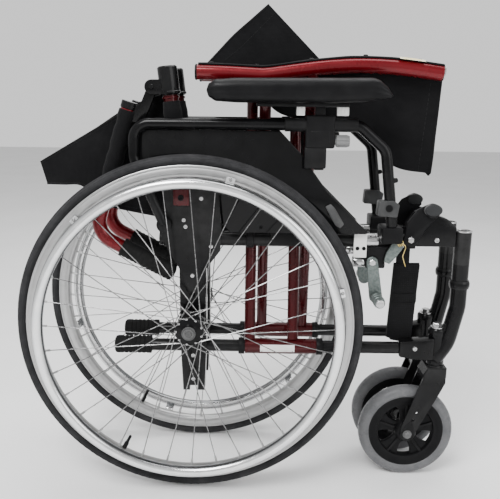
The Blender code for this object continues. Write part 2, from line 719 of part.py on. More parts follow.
SEAT_CREASE = (Vector((0.129, 0, 0.845)), Vector((0.418, 0, 0.560)))
RAIL_HINGE_Z = 0.742
LOWER_CREASE = (Vector((-0.228, 0, 0.600)), Vector((-0.177, 0, 0.502)))
UPPER_CREASE = (Vector((-0.273, 0, 0.576)), Vector((-0.210, 0, 0.486)))


def swing(rest, spread):
    """The one turn that carries a crease from its folded place to its spread place.

    Its axis is where the two planes meet that lie halfway between each end's two places.
    """
    first, second = (b - a for a, b in zip(rest, spread))
    axis = first.cross(second).normalized()
    middles = [(a + b) / 2 for a, b in zip(rest, spread)]
    planes = Matrix((first, second, axis))
    offsets = Vector((first.dot(middles[0]), second.dot(middles[1]), axis.dot(middles[0])))
    point = planes.inverted() @ offsets
    start, end = (place - point for place in (rest[0], spread[0]))
    start, end = start - axis * start.dot(axis), end - axis * end.dot(axis)
    angle = math.atan2(start.cross(end).dot(axis), start.dot(end))
    if angle < 0:
        axis, angle = -axis, -angle
    return point, axis, angle


def spread_crease(rest, start, run):
    """The crease once the chair is open: same length, from a start point along a direction."""
    return start, start + Vector(run).normalized() * (rest[1] - rest[0]).length


def flap_turn():
    """How far the seat's front flap turns on its rail, beyond the brace's own turn."""
    drop = RAIL_HINGE_Z - SEAT_CREASE[1].z
    hang_angle = math.atan2(drop, FRAME_Y * BRACE_UPPER / BRACE_LOWER)
    return hang_angle - (BRACE_OPEN - math.asin(FRAME_Y / BRACE_LOWER))


def right_swings():
    """Where each right-hand part of the upholstery turns, in its holder's folded place."""
    middle_y = BRACE_LOWER * math.sin(BRACE_OPEN) - FRAME_Y
    folded = math.asin(FRAME_Y / BRACE_LOWER)
    centre = Vector((0, 0, LOWER_Z + BRACE_LOWER * math.cos(folded)))
    opened = Vector((0, middle_y, LOWER_Z + BRACE_LOWER * math.cos(BRACE_OPEN)))
    rail_z = LOWER_Z + (BRACE_LOWER + BRACE_UPPER) * math.cos(BRACE_OPEN)
    rail = Vector((0, -FRAME_Y * BRACE_UPPER / BRACE_LOWER, RAIL_HINGE_Z))
    unfold = Matrix.Rotation(folded - BRACE_OPEN, 3, "X")
    unturn = Matrix.Rotation(-flap_turn(), 3, "X")
    seat = spread_crease(SEAT_CREASE, Vector((0.012, middle_y, rail_z + TUBE)), (1, 0, 0))
    seat = [centre + unfold @ (point - opened) for point in seat]
    seat = [rail + unturn @ (point - rail) for point in seat]
    lean = Vector((math.sin(LEAN), 0, -math.cos(LEAN)))
    lower = spread_crease(LOWER_CREASE, Vector((-0.0355, middle_y, 0.700)), lean)
    down = Vector((-0.286, 0, -0.958))
    upper = spread_crease(UPPER_CREASE, Vector((-0.0975, middle_y, 0.7000)), down)
    return {
        "seat_front": (rail, Vector((1, 0, 0)), flap_turn()),
        "seat_rear": swing(SEAT_CREASE, seat),
        "lower_back": swing(LOWER_CREASE, lower),
        "upper_back": swing(UPPER_CREASE, upper),
    }


def half_body(name, word, part, holder):
    """A body for half of a sling, on the axis that it swings about as the chair opens."""
    point = right_swings()[part][0].copy()
    point.y *= -SIDES[word]
    return body(name, point, holder)


def beside(points, side, offset):
    return [Vector((p.x, side * offset, p.z)) for p in points]


def seat_parts(word, side, holder):
    """Half of the sling seat: a front flap hung from the rail, and a rear part that peaks above it."""
    inner = side * (FRAME_Y * BRACE_UPPER / BRACE_LOWER - TUBE - 0.0035)
    peak, toe = (Vector((p.x, side * 0.0016, p.z)) for p in SEAT_CREASE)
    split = peak.lerp(toe, 0.36)
    front_edge = [Vector((x, inner, z)) for x, z in ((0.240, 0.728), (0.330, 0.738), (0.422, 0.734))]
    front = cloth(f"{word}_seat_front", front_edge, [split.lerp(toe, 0.12), toe], 0.0022, (4, 3))
    rear_edge = [Vector((x, inner, z)) for x, z in ((0.012, 0.752), (0.120, 0.746), (0.226, 0.750))]
    rear = cloth(f"{word}_seat_rear", rear_edge, [peak, split], 0.0022, (4, 3))
    front_body = half_body(f"{word}_seat_front_body", word, "seat_front", holder)
    rear_body = half_body(f"{word}_seat_rear_body", word, "seat_rear", front_body)
    hang(front_body, front)
    hang(rear_body, rear)


def lower_back_half(word, side):
    """Half of the back sling between the fixed canes, gathered behind them."""
    y = side * (FRAME_Y - TUBE - 0.0030)
    edge = [(-0.036, y, 0.686), (-0.026, y, 0.590), (-0.013, y, 0.475)]
    return cloth(f"{word}_lower_back_half", edge, beside(LOWER_CREASE, side, 0.0016), 0.0022, cells=(4, 4))


def upper_back_half(word, side):
    """Half of the back sling between the folding canes, hanging behind them when folded."""
    y = side * (FRAME_Y - TUBE - 0.0030)
    edge = [(-0.112, y, 0.668), (-0.136, y, 0.590), (-0.159, y, 0.512)]
    return cloth(f"{word}_upper_back_half", edge, beside(UPPER_CREASE, side, 0.0070), 0.0022, cells=(4, 4))


def leg_strap(home):
    """The folded leg strap, hanging inside the right frame by a loop."""
    strap = slab(
        "leg_strap", [(0.3556, 0.262), (0.4010, 0.243), (0.4089, 0.400), (0.3830, 0.403), (0.3620, 0.398)],
        -1, 0.0140, 0.0220, "fabric", 0.002,
    )
    tab = slab("strap_loop_shape", [(0.366, 0.395), (0.390, 0.395), (0.390, 0.470), (0.366, 0.470)],
               -1, 0.0170, 0.0200, None)
    join(strap, tab)
    hang(home, strap)


# ---- the chair ----


def side_frame(word, home):
    side = SIDES[word]
    frame_tubes(word, side, home)
    front_tube(word, side, home)
    caster_housing(word, side, home)
    axle_post(word, side, home)
    back_cane(word, side, home)
    brake_parts(word, side, home)
    armrest(word, side, home)
    rear_wheel(word, side, home)
    caster(word, side, home)
    cane_body = folding_cane(word, side, home)
    lower = half_body(f"{word}_lower_back_body", word, "lower_back", home)
    hang(lower, lower_back_half(word, side))
    upper = half_body(f"{word}_upper_back_body", word, "upper_back", cane_body)
    hang(upper, upper_back_half(word, side))


def build():
    clear_scene()
    body("chair")
    right_frame = body("right_frame")
    right_brace = body("right_brace_body", (0, -FRAME_Y, LOWER_Z), right_frame)
    centre_z = LOWER_Z + math.sqrt(BRACE_LOWER**2 - FRAME_Y**2)
    left_brace = body("left_brace_body", (0, 0, centre_z), right_brace)
    left_frame = body("left_frame", (0, FRAME_Y, LOWER_Z), left_brace)
    side_frame("right", right_frame)
    side_frame("left", left_frame)
    brace("right", -1, right_brace)
    brace("left", 1, left_brace)
    brace_axle(right_brace, centre_z)
    for word, holder in (("right", left_brace), ("left", right_brace)):
        seat_parts(word, SIDES[word], holder)
    leg_strap(right_frame)


build()
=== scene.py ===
"""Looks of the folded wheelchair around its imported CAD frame.

Lengths are metres. Shapes are drawn about the rear axle, X forward and Z up from the floor, and
`piece` moves them to the chair's own frame. Side -1 is the chair's right, +1 its left.
"""

from math import copysign, cos, exp, pi, radians, sin, sqrt, tan, tau

import bmesh
import bpy
from mathutils import Matrix, Vector, noise


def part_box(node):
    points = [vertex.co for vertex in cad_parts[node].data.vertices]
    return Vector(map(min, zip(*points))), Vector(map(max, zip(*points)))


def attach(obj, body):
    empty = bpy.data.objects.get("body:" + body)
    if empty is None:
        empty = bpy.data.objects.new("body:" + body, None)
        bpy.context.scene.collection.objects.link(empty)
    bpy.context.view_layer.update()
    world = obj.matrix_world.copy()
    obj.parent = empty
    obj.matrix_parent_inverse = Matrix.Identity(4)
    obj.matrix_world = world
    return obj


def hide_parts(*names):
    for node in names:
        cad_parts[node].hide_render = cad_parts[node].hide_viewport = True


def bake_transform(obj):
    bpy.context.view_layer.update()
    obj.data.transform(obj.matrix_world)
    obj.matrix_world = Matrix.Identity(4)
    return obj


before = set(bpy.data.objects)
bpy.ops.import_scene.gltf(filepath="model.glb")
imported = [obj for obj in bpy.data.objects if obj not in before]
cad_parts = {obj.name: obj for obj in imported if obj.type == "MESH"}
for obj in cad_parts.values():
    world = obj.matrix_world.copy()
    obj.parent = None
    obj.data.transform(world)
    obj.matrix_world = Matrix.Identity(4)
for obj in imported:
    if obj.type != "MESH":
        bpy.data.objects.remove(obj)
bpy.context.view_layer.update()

AXLE_X = sum(corner.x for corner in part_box("right_tyre")) / 2

SIDES = {"right": -1, "left": 1}
OTHER = {"right": "left", "left": "right"}

FRAME_Y = 0.045
RAIL_Y = 0.04248
LABEL = 0.0003
LABEL_RADIUS = 0.0143
UPPER_Z = 0.449
LOWER_Z = 0.25
TUBE = 0.0125
HUB_Z = 0.3
WHEEL_Y = 0.095
SPOKES = 36
FLANGE = 0.0225
VALVE_ANGLE = radians(208.0)
HANDRIM_Y = 0.13
STEM_X = 0.443
POST_X = 0.475
ARM_Y = 0.0715
LEAN = radians(6.5)
CANE_FOOT = Vector((-0.0165, 0.0, 0.535))
CANE_PIVOT = Vector((-0.0646, 0.0, 0.707))
CANE_FOLD = radians(156.9)
EAR = 0.012
SLEEVE = 0.0146
GRIP_STEPS = 52
CASTER = Vector((0.396, 0.042, 0.0875))

# ---- materials ----


class Nodes:
    """A material's node tree, with short calls for the nodes used here."""

    def __init__(self, name):
        self.material = bpy.data.materials.new(name)
        self.material.use_nodes = True
        self.tree = self.material.node_tree
        self.shader = self.tree.nodes["Principled BSDF"]
        self.where = self.add("ShaderNodeTexCoord").outputs["Object"]

    def feed(self, socket, value):
        """Give a socket a number or a colour, or link an output to it."""
        if isinstance(value, bpy.types.NodeSocket):
            self.tree.links.new(value, socket)
        else:
            socket.default_value = (*value, 1.0) if socket.type == "RGBA" else value

    def add(self, kind, **values):
        """A node whose values go to the inputs of their names, _ for a space, or to its settings."""
        node = self.tree.nodes.new(kind)
        for key, value in values.items():
            socket = node.inputs.get(key.replace("_", " "))
            if socket is None:
                setattr(node, key, value)
            else:
                self.feed(socket, value)
        return node

    def noise(self, scale, detail=3.0, roughness=0.55):
        values = {"Scale": scale, "Detail": detail, "Roughness": roughness}
        return self.add("ShaderNodeTexNoise", Vector=self.where, **values).outputs["Fac"]

    def bands(self, scale, direction):
        values = {"bands_direction": direction, "Scale": scale, "Distortion": 0.6}
        return self.add("ShaderNodeTexWave", Vector=self.where, **values).outputs["Fac"]

    def ramp(self, value, stops):
        node = self.add("ShaderNodeValToRGB", Fac=value)
        for element, (place, colour) in zip(node.color_ramp.elements, stops, strict=True):
            element.position = place
            element.color = (*colour, 1.0)
        return node.outputs["Color"]

    def between(self, value, low, high, start=0.3, end=0.7):
        values = {"From_Min": start, "From_Max": end, "To_Min": low, "To_Max": high}
        return self.add("ShaderNodeMapRange", Value=value, **values).outputs["Result"]

    def maths(self, operation, first, second):
        node = self.add("ShaderNodeMath", operation=operation)
        for socket, value in zip(node.inputs, (first, second)):
            self.feed(socket, value)
        return node.outputs["Value"]

    def mix(self, amount, first, second):
        node = self.add("ShaderNodeMix", data_type="RGBA", Factor=amount)
        # the colour inputs share their names with the other data types' inputs
        self.feed(node.inputs[6], first)
        self.feed(node.inputs[7], second)
        return node.outputs[2]

    def bump(self, height, strength, distance):
        node = self.add("ShaderNodeBump", Height=height, Strength=strength, Distance=distance)
        self.feed(self.shader.inputs["Normal"], node.outputs["Normal"])

    def set(self, **values):
        for key, value in values.items():
            self.feed(self.shader.inputs[key.replace("_", " ")], value)
        return self.material


def edge_wear(n, colour, worn, start=0.53, end=0.6):
    """The colour rubbed to a worn one in patches where the surface is sharpest."""
    point = n.add("ShaderNodeNewGeometry").outputs["Pointiness"]
    patchy = n.maths("MULTIPLY", n.between(point, 0.0, 1.0, start, end), n.noise(60.0))
    return n.mix(patchy, colour, worn)


def hard_finish(name, dark, light, worn, rough, bump, coat=0.0):
    """Paint or plastic: slow colour drift, patchy gloss, a fine skin and rubbed edges."""
    n = Nodes(name)
    colour = n.ramp(n.noise(22.0), [(0.3, dark), (0.72, light)])
    n.bump(n.noise(900.0, 2.0), bump, 0.0004)
    return n.set(
        Base_Color=edge_wear(n, colour, worn),
        Roughness=n.between(n.noise(45.0, 5.0), *rough),
        Specular_IOR_Level=0.1,
        Coat_Weight=coat,
        Coat_Roughness=0.12,
    )


def red_enamel(name, low, high, shade_colour):
    """Candy red over metal flake."""
    n = Nodes(name)
    flake = n.add("ShaderNodeTexVoronoi", Vector=n.where, Scale=2600.0)
    colour = n.mix(n.between(flake.outputs["Distance"], 1.0, 0.0, 0.0, 0.5), low, high)
    colour = n.mix(n.between(n.noise(16.0), 0.0, 0.45), colour, shade_colour)
    n.bump(n.noise(420.0, 2.0), 0.05, 0.0003)
    return n.set(
        Base_Color=edge_wear(n, colour, (0.25, 0.05, 0.05), 0.68, 0.8),
        Roughness=n.between(n.noise(50.0, 4.0), 0.22, 0.36),
        Metallic=0.35,
        Specular_IOR_Level=0.2,
        Coat_Weight=0.32,
        Coat_Roughness=0.06,
    )


def woven(name, dark, light, thread, rough=0.9):
    """Plain-woven nylon with a dusty drift of colour."""
    n = Nodes(name)
    warp, weft, across = n.bands(thread, "X"), n.bands(thread, "Z"), n.bands(thread, "Y")
    cloth = n.maths("MULTIPLY", n.maths("ADD", warp, across), n.maths("ADD", weft, 0.25))
    dust = n.ramp(n.noise(14.0, 6.0, 0.65), [(0.35, dark), (0.75, light)])
    colour = n.mix(n.between(cloth, 0.0, 0.5, 0.2, 1.6), dust, light)
    n.bump(n.maths("ADD", cloth, n.maths("MULTIPLY", n.noise(160.0), 0.8)), 0.35, 0.0006)
    skin = {"Specular_IOR_Level": 0.1, "Sheen_Weight": 0.04, "Sheen_Roughness": 0.5}
    return n.set(Base_Color=colour, Roughness=rough, **skin)


def rubber(name, dark, light, rough, bump, scale):
    """Dull rubber with a fine grain of the given scale."""
    n = Nodes(name)
    colour = n.ramp(n.noise(30.0, 6.0, 0.7), [(0.32, dark), (0.74, light)])
    n.bump(n.noise(scale, 4.0), bump, 0.0008)
    return n.set(Base_Color=colour, Specular_IOR_Level=0.15, Roughness=n.between(n.noise(80.0), *rough))


def bright_metal(name, dark, light, rough, stretch=(1, 1, 1), bump=0.02, painted_side_shade=False):
    """Bare or plated metal with drawn or polished marks, with painted shade on the sides of a ring when
    asked.
    """
    n = Nodes(name)
    squeezed = n.add("ShaderNodeMapping", Vector=n.where, Scale=stretch).outputs["Vector"]
    marks = n.add("ShaderNodeTexNoise", Vector=squeezed, Scale=60.0, Detail=5.0).outputs["Fac"]
    n.bump(marks, bump, 0.0003)
    colour = n.ramp(marks, [(0.3, dark), (0.7, light)])
    if painted_side_shade:
        # painted shade: faces that turn away from the Y axis are darkened towards dark grey, so the ring
        # looks lit only along its outer face
        normal = n.add("ShaderNodeNewGeometry").outputs["Normal"]
        facing = n.add("ShaderNodeSeparateXYZ", Vector=normal).outputs["Y"]
        outward = n.maths("ABSOLUTE", facing, 0.0)
        colour = n.mix(n.between(outward, 1.0, 0.0, 0.35, 0.97), colour, (0.17, 0.175, 0.18))
    return n.set(Base_Color=colour, Roughness=n.between(marks, *rough), Metallic=0.92)


def pad_skin():
    """Moulded foam skin with a leather grain."""
    n = Nodes("pad_skin")
    grain = n.add("ShaderNodeTexVoronoi", Vector=n.where, feature="SMOOTH_F1", Scale=520.0)
    colour = n.ramp(n.noise(24.0, 5.0), [(0.3, (0.003, 0.003, 0.0035)), (0.75, (0.008, 0.008, 0.0085))])
    n.bump(grain.outputs["Distance"], 0.28, 0.0007)
    rough = n.between(n.noise(60.0), 0.34, 0.5)
    return n.set(Base_Color=colour, Specular_IOR_Level=0.12, Roughness=rough)


def grey(level):
    return (level, level, level)


LOOKS = {
    "black_paint": hard_finish(
        "black_enamel", (0.0018, 0.0018, 0.002), (0.005, 0.005, 0.0055), grey(0.03), (
            0.14, 0.28,
        ), 0.05, 0.1
    ),
    "red_paint": red_enamel(
        "red_enamel", (0.125, 0.0012, 0.005), (0.23, 0.004, 0.013), (0.085, 0.001, 0.002)
    ),
    # the same red paint darkened: painted shade for the struts, brace sleeves and lower canes that lie in
    # the wheels' shadow
    "deep_red": red_enamel(
        "red_enamel_painted_shade", (0.045, 0.0006, 0.002), (0.09, 0.0015, 0.005), (0.03, 0.0005, 0.001)
    ),
    "black_plastic": hard_finish(
        "black_moulding", (0.0025, 0.0025, 0.003), (0.0065, 0.0065, 0.007), grey(0.02), (0.36, 0.52), 0.16
    ),
    "gloss_plastic": hard_finish(
        "gloss_moulding", (0.0012, 0.0012, 0.0014), (0.003, 0.003, 0.0035), grey(0.015), (
            0.1, 0.2,
        ), 0.03, 0.12
    ),
    "grey_plastic": hard_finish(
        "grey_moulding", (0.11, 0.112, 0.112), (0.17, 0.172, 0.172), grey(0.25), (0.36, 0.5), 0.14
    ),
    "dark_grey": hard_finish(
        "dark_grey_moulding", (0.016, 0.0165, 0.017), (0.03, 0.031, 0.032), grey(0.2), (0.32, 0.45), 0.12
    ),
    "label": hard_finish(
        "blank_label", (0.72, 0.71, 0.68), (0.84, 0.83, 0.8), grey(0.9), (0.3, 0.42), 0.03, 0.2
    ),
    "pale_label": hard_finish(
        "pale_label", (0.66, 0.55, 0.2), (0.76, 0.64, 0.28), grey(0.9), (0.3, 0.42), 0.03, 0.2
    ),
    "fabric": woven("black_nylon", (0.0025, 0.0025, 0.003), (0.007, 0.007, 0.0075), 150.0),
    "webbing": woven("black_webbing", grey(0.004), (0.011, 0.011, 0.012), 90.0, 0.85),
    "thread": woven("black_thread", grey(0.01), (0.024, 0.024, 0.025), 300.0),
    "pad": pad_skin(),
    "grip": rubber("grip_rubber", grey(0.004), grey(0.01), (0.62, 0.82), 0.3, 700.0),
    "tyre": rubber(
        "tyre_rubber", (0.014, 0.014, 0.015), (0.036, 0.036, 0.038), (0.62, 0.85), 0.35, 500.0,
    ),
    "caster_tyre": rubber(
        "caster_rubber", (0.085, 0.086, 0.09), (0.135, 0.136, 0.14), (0.22, 0.38), 0.08, 300.0
    ),
    "silver": bright_metal("satin_aluminium", grey(0.4), grey(0.46), (0.32, 0.44)),
    # the handrim: polished aluminium with painted shade on the sides of the ring
    "polished": bright_metal(
        "aluminium_painted_side_shade", (0.78, 0.79, 0.8), grey(0.88), (0.16, 0.24), painted_side_shade=True,
    ),
    "spoke": bright_metal("spoke_wire", grey(0.16), grey(0.34), (0.12, 0.3), (1, 1, 6)),
    "steel": bright_metal("plated_steel", grey(0.34), grey(0.6), (0.08, 0.24), (1, 1, 6)),
    "brass": bright_metal("brass_wire", (0.52, 0.38, 0.12), (0.74, 0.58, 0.24), (0.2, 0.4)),
    "cast_metal": bright_metal(
        "rough_casting", (0.1, 0.12, 0.115), (0.21, 0.24, 0.23), (0.4, 0.65), (4, 4, 4), bump=0.4
    ),
}

# ---- shapes: each returns a bmesh drawn about the rear axle ----


def mm(*numbers):
    """The points of an outline from its numbers in millimetres, two to a point."""
    metres = [number / 1000 for number in numbers]
    return list(zip(metres[::2], metres[1::2]))


def level(y, *numbers):
    """The same, as points at one Y."""
    return [Vector((x, y, z)) for x, z in mm(*numbers)]


def tube(path, radius, sides=24, chamfer=0.0012):
    """A round bar along a path, with slightly broken ends. radius may be one number or one per point."""
    path = [Vector(p) for p in path]
    radii = list(radius) if isinstance(radius, (list, tuple)) else [radius] * len(path)
    if chamfer:
        ahead = (path[1] - path[0]).normalized() * chamfer
        back = (path[-2] - path[-1]).normalized() * chamfer
        path = [path[0], path[0] + ahead, *path[1:-1], path[-1] + back, path[-1]]
        radii = [radii[0] - chamfer, radii[0], *radii[1:-1], radii[-1], radii[-1] - chamfer]
    bm = bmesh.new()
    rings = []
    normal = (path[1] - path[0]).orthogonal().normalized()
    for index, (point, size) in enumerate(zip(path, radii)):
        tangent = (path[min(index + 1, len(path) - 1)] - path[max(index - 1, 0)]).normalized()
        normal = (normal - tangent * normal.dot(tangent)).normalized()
        other = tangent.cross(normal)
        ring = []
        for step in range(sides):
            angle = tau * step / sides
            ring.append(bm.verts.new(point + (normal * cos(angle) + other * sin(angle)) * size))
        rings.append(ring)
    bridge(bm, rings)
    bm.faces.new(rings[0])
    bm.faces.new(rings[-1])
    return bm


def bridge(bm, rings, closed=False):
    pairs = list(zip(rings, rings[1:]))
    if closed:
        pairs.append((rings[-1], rings[0]))
    for low, high in pairs:
        count = len(low)
        for step in range(count):
            after = (step + 1) % count
            bm.faces.new((low[step], low[after], high[after], high[step]))


def lathe(profile, centre, steps, axis="Y", ripple=None):
    """A closed outline of (radius, distance along the axis) revolved about it."""
    bm = bmesh.new()
    rings = []
    for index in range(steps):
        angle = tau * index / steps
        ring = []
        for place, (radius, reach) in enumerate(profile):
            radius += ripple(place, index) if ripple else 0.0
            across, up = radius * sin(angle), radius * cos(angle)
            spots = {"X": (reach, across, up), "Y": (across, reach, up), "Z": (across, up, reach)}
            ring.append(bm.verts.new(Vector(centre) + Vector(spots[axis])))
        rings.append(ring)
    bridge(bm, rings, closed=True)
    return bm


def bevelled(bm, offset, segments):
    bmesh.ops.bevel(bm, geom=bm.edges[:], offset=offset, segments=segments, affect="EDGES", profile=0.5)
    return bm


def extruded(outline, shift, bevel, segments):
    """A flat outline drawn out by a shift, with its edges broken."""
    bm = bmesh.new()
    face = bm.faces.new([bm.verts.new(point) for point in outline])
    grown = bmesh.ops.extrude_face_region(bm, geom=[face])["geom"]
    bmesh.ops.translate(bm, verts=[v for v in grown if isinstance(v, bmesh.types.BMVert)], vec=shift)
    return bevelled(bm, bevel, segments)


def prism(outline, side, near, far, bevel=0.0008, segments=2):
    """An outline of (x, z) points, thick from near to far on one side of the chair."""
    flat = [(x, side * near, z) for x, z in outline]
    return extruded(flat, (0, side * (far - near), 0), bevel, segments)


def box(low, high, bevel=0.001, segments=2):
    low, high = Vector(low), Vector(high)
    place = Matrix.Translation((low + high) / 2) @ Matrix.Diagonal((*map(abs, high - low), 1.0))
    bm = bmesh.new()
    bmesh.ops.create_cube(bm, size=1.0, matrix=place)
    return bevelled(bm, bevel, segments)


def moved(bm, matrix):
    bmesh.ops.transform(bm, matrix=matrix, verts=bm.verts)
    return bm


def turned_to(bm, point, direction):
    """Move a shape drawn about the Z axis to a point, facing a direction."""
    turn = Vector(direction).to_track_quat("Z", "Y").to_matrix().to_4x4()
    return moved(bm, Matrix.Translation(Vector(point)) @ turn)


def screw(point, direction, radius, head):
    """A socket-head screw: a domed head with a hexagonal recess."""
    dome = [(0.0, -0.0008), (radius, -0.0008), (radius, head * 0.5), (radius * 0.86, head * 0.86)]
    dome += [(radius * 0.52, head), (radius * 0.5, head * 0.35), (0.0, head * 0.3)]
    return turned_to(lathe(dome, (0, 0, 0), 18, "Z"), point, direction)


def nut(point, direction, radius, height):
    outline = [
        (0.0, -0.0006), (radius, -0.0006), (radius, height * 0.8), (radius * 0.86, height), (0.0, height),
    ]
    return turned_to(lathe(outline, (0, 0, 0), 6, "Z"), point, direction)


def washer(point, direction, inner, outer, thick=0.0012):
    outline = [(inner, 0.0), (outer, 0.0), (outer, thick), (inner, thick)]
    return turned_to(lathe(outline, (0, 0, 0), 24, "Z"), point, direction)


def coil(start, end, radius, wire, turns):
    """A coil spring between two points."""
    start, end = Vector(start), Vector(end)
    run = end - start
    across = run.orthogonal().normalized()
    other = run.normalized().cross(across)
    path = []
    for index in range(turns * 12 + 1):
        angle = tau * index / 12
        middle = start + run * (index / (turns * 12))
        path.append(middle + (across * cos(angle) + other * sin(angle)) * radius)
    return tube(path, wire, 6, 0.0)


def rounded(points, bend, steps):
    """A path whose inner corners are arcs of radius bend."""
    path = [Vector(points[0])]
    for before, corner, after in zip(points, points[1:], points[2:]):
        corner = Vector(corner)
        back = (Vector(before) - corner).normalized()
        ahead = (Vector(after) - corner).normalized()
        half = back.angle(ahead) / 2
        cut = bend / tan(half)
        middle = corner + (back + ahead).normalized() * bend / sin(half)
        first = (corner + back * cut - middle).normalized()
        last = (corner + ahead * cut - middle).normalized()
        for step in range(steps + 1):
            path.append(middle + first.slerp(last, step / steps) * bend)
    path.append(Vector(points[-1]))
    return path


def arc(centre, radius, first, last, steps):
    angles = [radians(first + (last - first) * i / steps) for i in range(steps + 1)]
    return [(centre[0] + radius * cos(a), centre[1] + radius * sin(a)) for a in angles]


def spline(points, part):
    """A smooth line through points, at a part from 0 to 1 of its count."""
    place = part * (len(points) - 1)
    index = min(int(place), len(points) - 2)
    t = place - index
    a, b = Vector(points[index]), Vector(points[index + 1])
    before = Vector(points[index - 1]) if index else a * 2 - b
    after = Vector(points[index + 2]) if index + 2 < len(points) else b * 2 - a
    cubic = (before * -1 + a * 3 - b * 3 + after) * t**3
    square = (before * 2 - a * 5 + b * 4 - after) * t**2
    return (cubic + square + (b - before) * t + a * 2) / 2


def fill_grid(bm, grid):
    for low, high in zip(grid, grid[1:]):
        for j in range(len(low) - 1):
            bm.faces.new((low[j], low[j + 1], high[j + 1], high[j]))


def rim(grid):
    """The vertices round the edge of a grid, in order."""
    far, near = [row[-1] for row in grid[:-1]], [row[0] for row in grid[:0:-1]]
    return grid[0][:-1] + far + grid[-1][:0:-1] + near


def sheet(rows, thick):
    """A thin closed cloth over a grid of points."""
    bm = bmesh.new()
    grid = [[bm.verts.new(p) for p in row] for row in rows]
    fill_grid(bm, grid)
    bm.normal_update()
    lift = [[v.normal * thick / 2 for v in row] for row in grid]
    faces = [
        [[bm.verts.new(v.co + up * sign) for v, up in zip(row, ups)] for row, ups in zip(grid, lift)]
        for sign in (1, -1)
    ]
    bmesh.ops.delete(bm, geom=[v for row in grid for v in row], context="VERTS")
    for face in faces:
        fill_grid(bm, face)
    outer, inner = map(rim, faces)
    for k in range(len(outer)):
        after = (k + 1) % len(outer)
        bm.faces.new((outer[k], outer[after], inner[after], inner[k]))
    return bm


# ---- pieces ----


def shown(name, data):
    obj = bpy.data.objects.new(name, data)
    bpy.context.scene.collection.objects.link(obj)
    return obj


def piece(name, shapes, look, body=None, replaces=(), sharp=38.0, slot=None):
    """One named object: its shapes joined, smoothed below an angle, and tied to the frame."""
    mesh = bpy.data.meshes.new(name)
    whole = bmesh.new()
    for bm in shapes:
        bmesh.ops.remove_doubles(bm, verts=bm.verts, dist=1e-6)
        bmesh.ops.recalc_face_normals(bm, faces=bm.faces)
        part = bpy.data.meshes.new("part")
        bm.to_mesh(part)
        bm.free()
        whole.from_mesh(part)
        bpy.data.meshes.remove(part)
    bmesh.ops.translate(whole, verts=whole.verts, vec=(AXLE_X, 0, 0))
    whole.to_mesh(mesh)
    whole.free()
    mesh.shade_smooth()
    mesh.set_sharp_from_angle(angle=radians(sharp))
    mesh.materials.append(LOOKS[look])
    obj = shown(name, mesh)
    if body:
        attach(obj, body)
    if replaces:
        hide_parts(*replaces)
    return obj


def adder(word, body):
    """A call that adds pieces to one side, riding its body unless another is named.

    The side's word goes before the names of the piece, its body and the CAD node it stands for.
    """

    def add(name, shapes, look, node=None, on=body, **more):
        nodes = [f"{word}_{node}"] if node else ()
        return piece(f"{word}_{name}", shapes, look, f"{word}_{on}", nodes, **more)

    return add


def outward(side, profile):
    """A turned part's outline, with its reach along Y on one side of the chair."""
    return [(radius, side * reach) for radius, reach in profile]


def mirrored(half):
    """The outline of a wheel part from its outer half."""
    return half + [(r, -a) for r, a in reversed(half)]


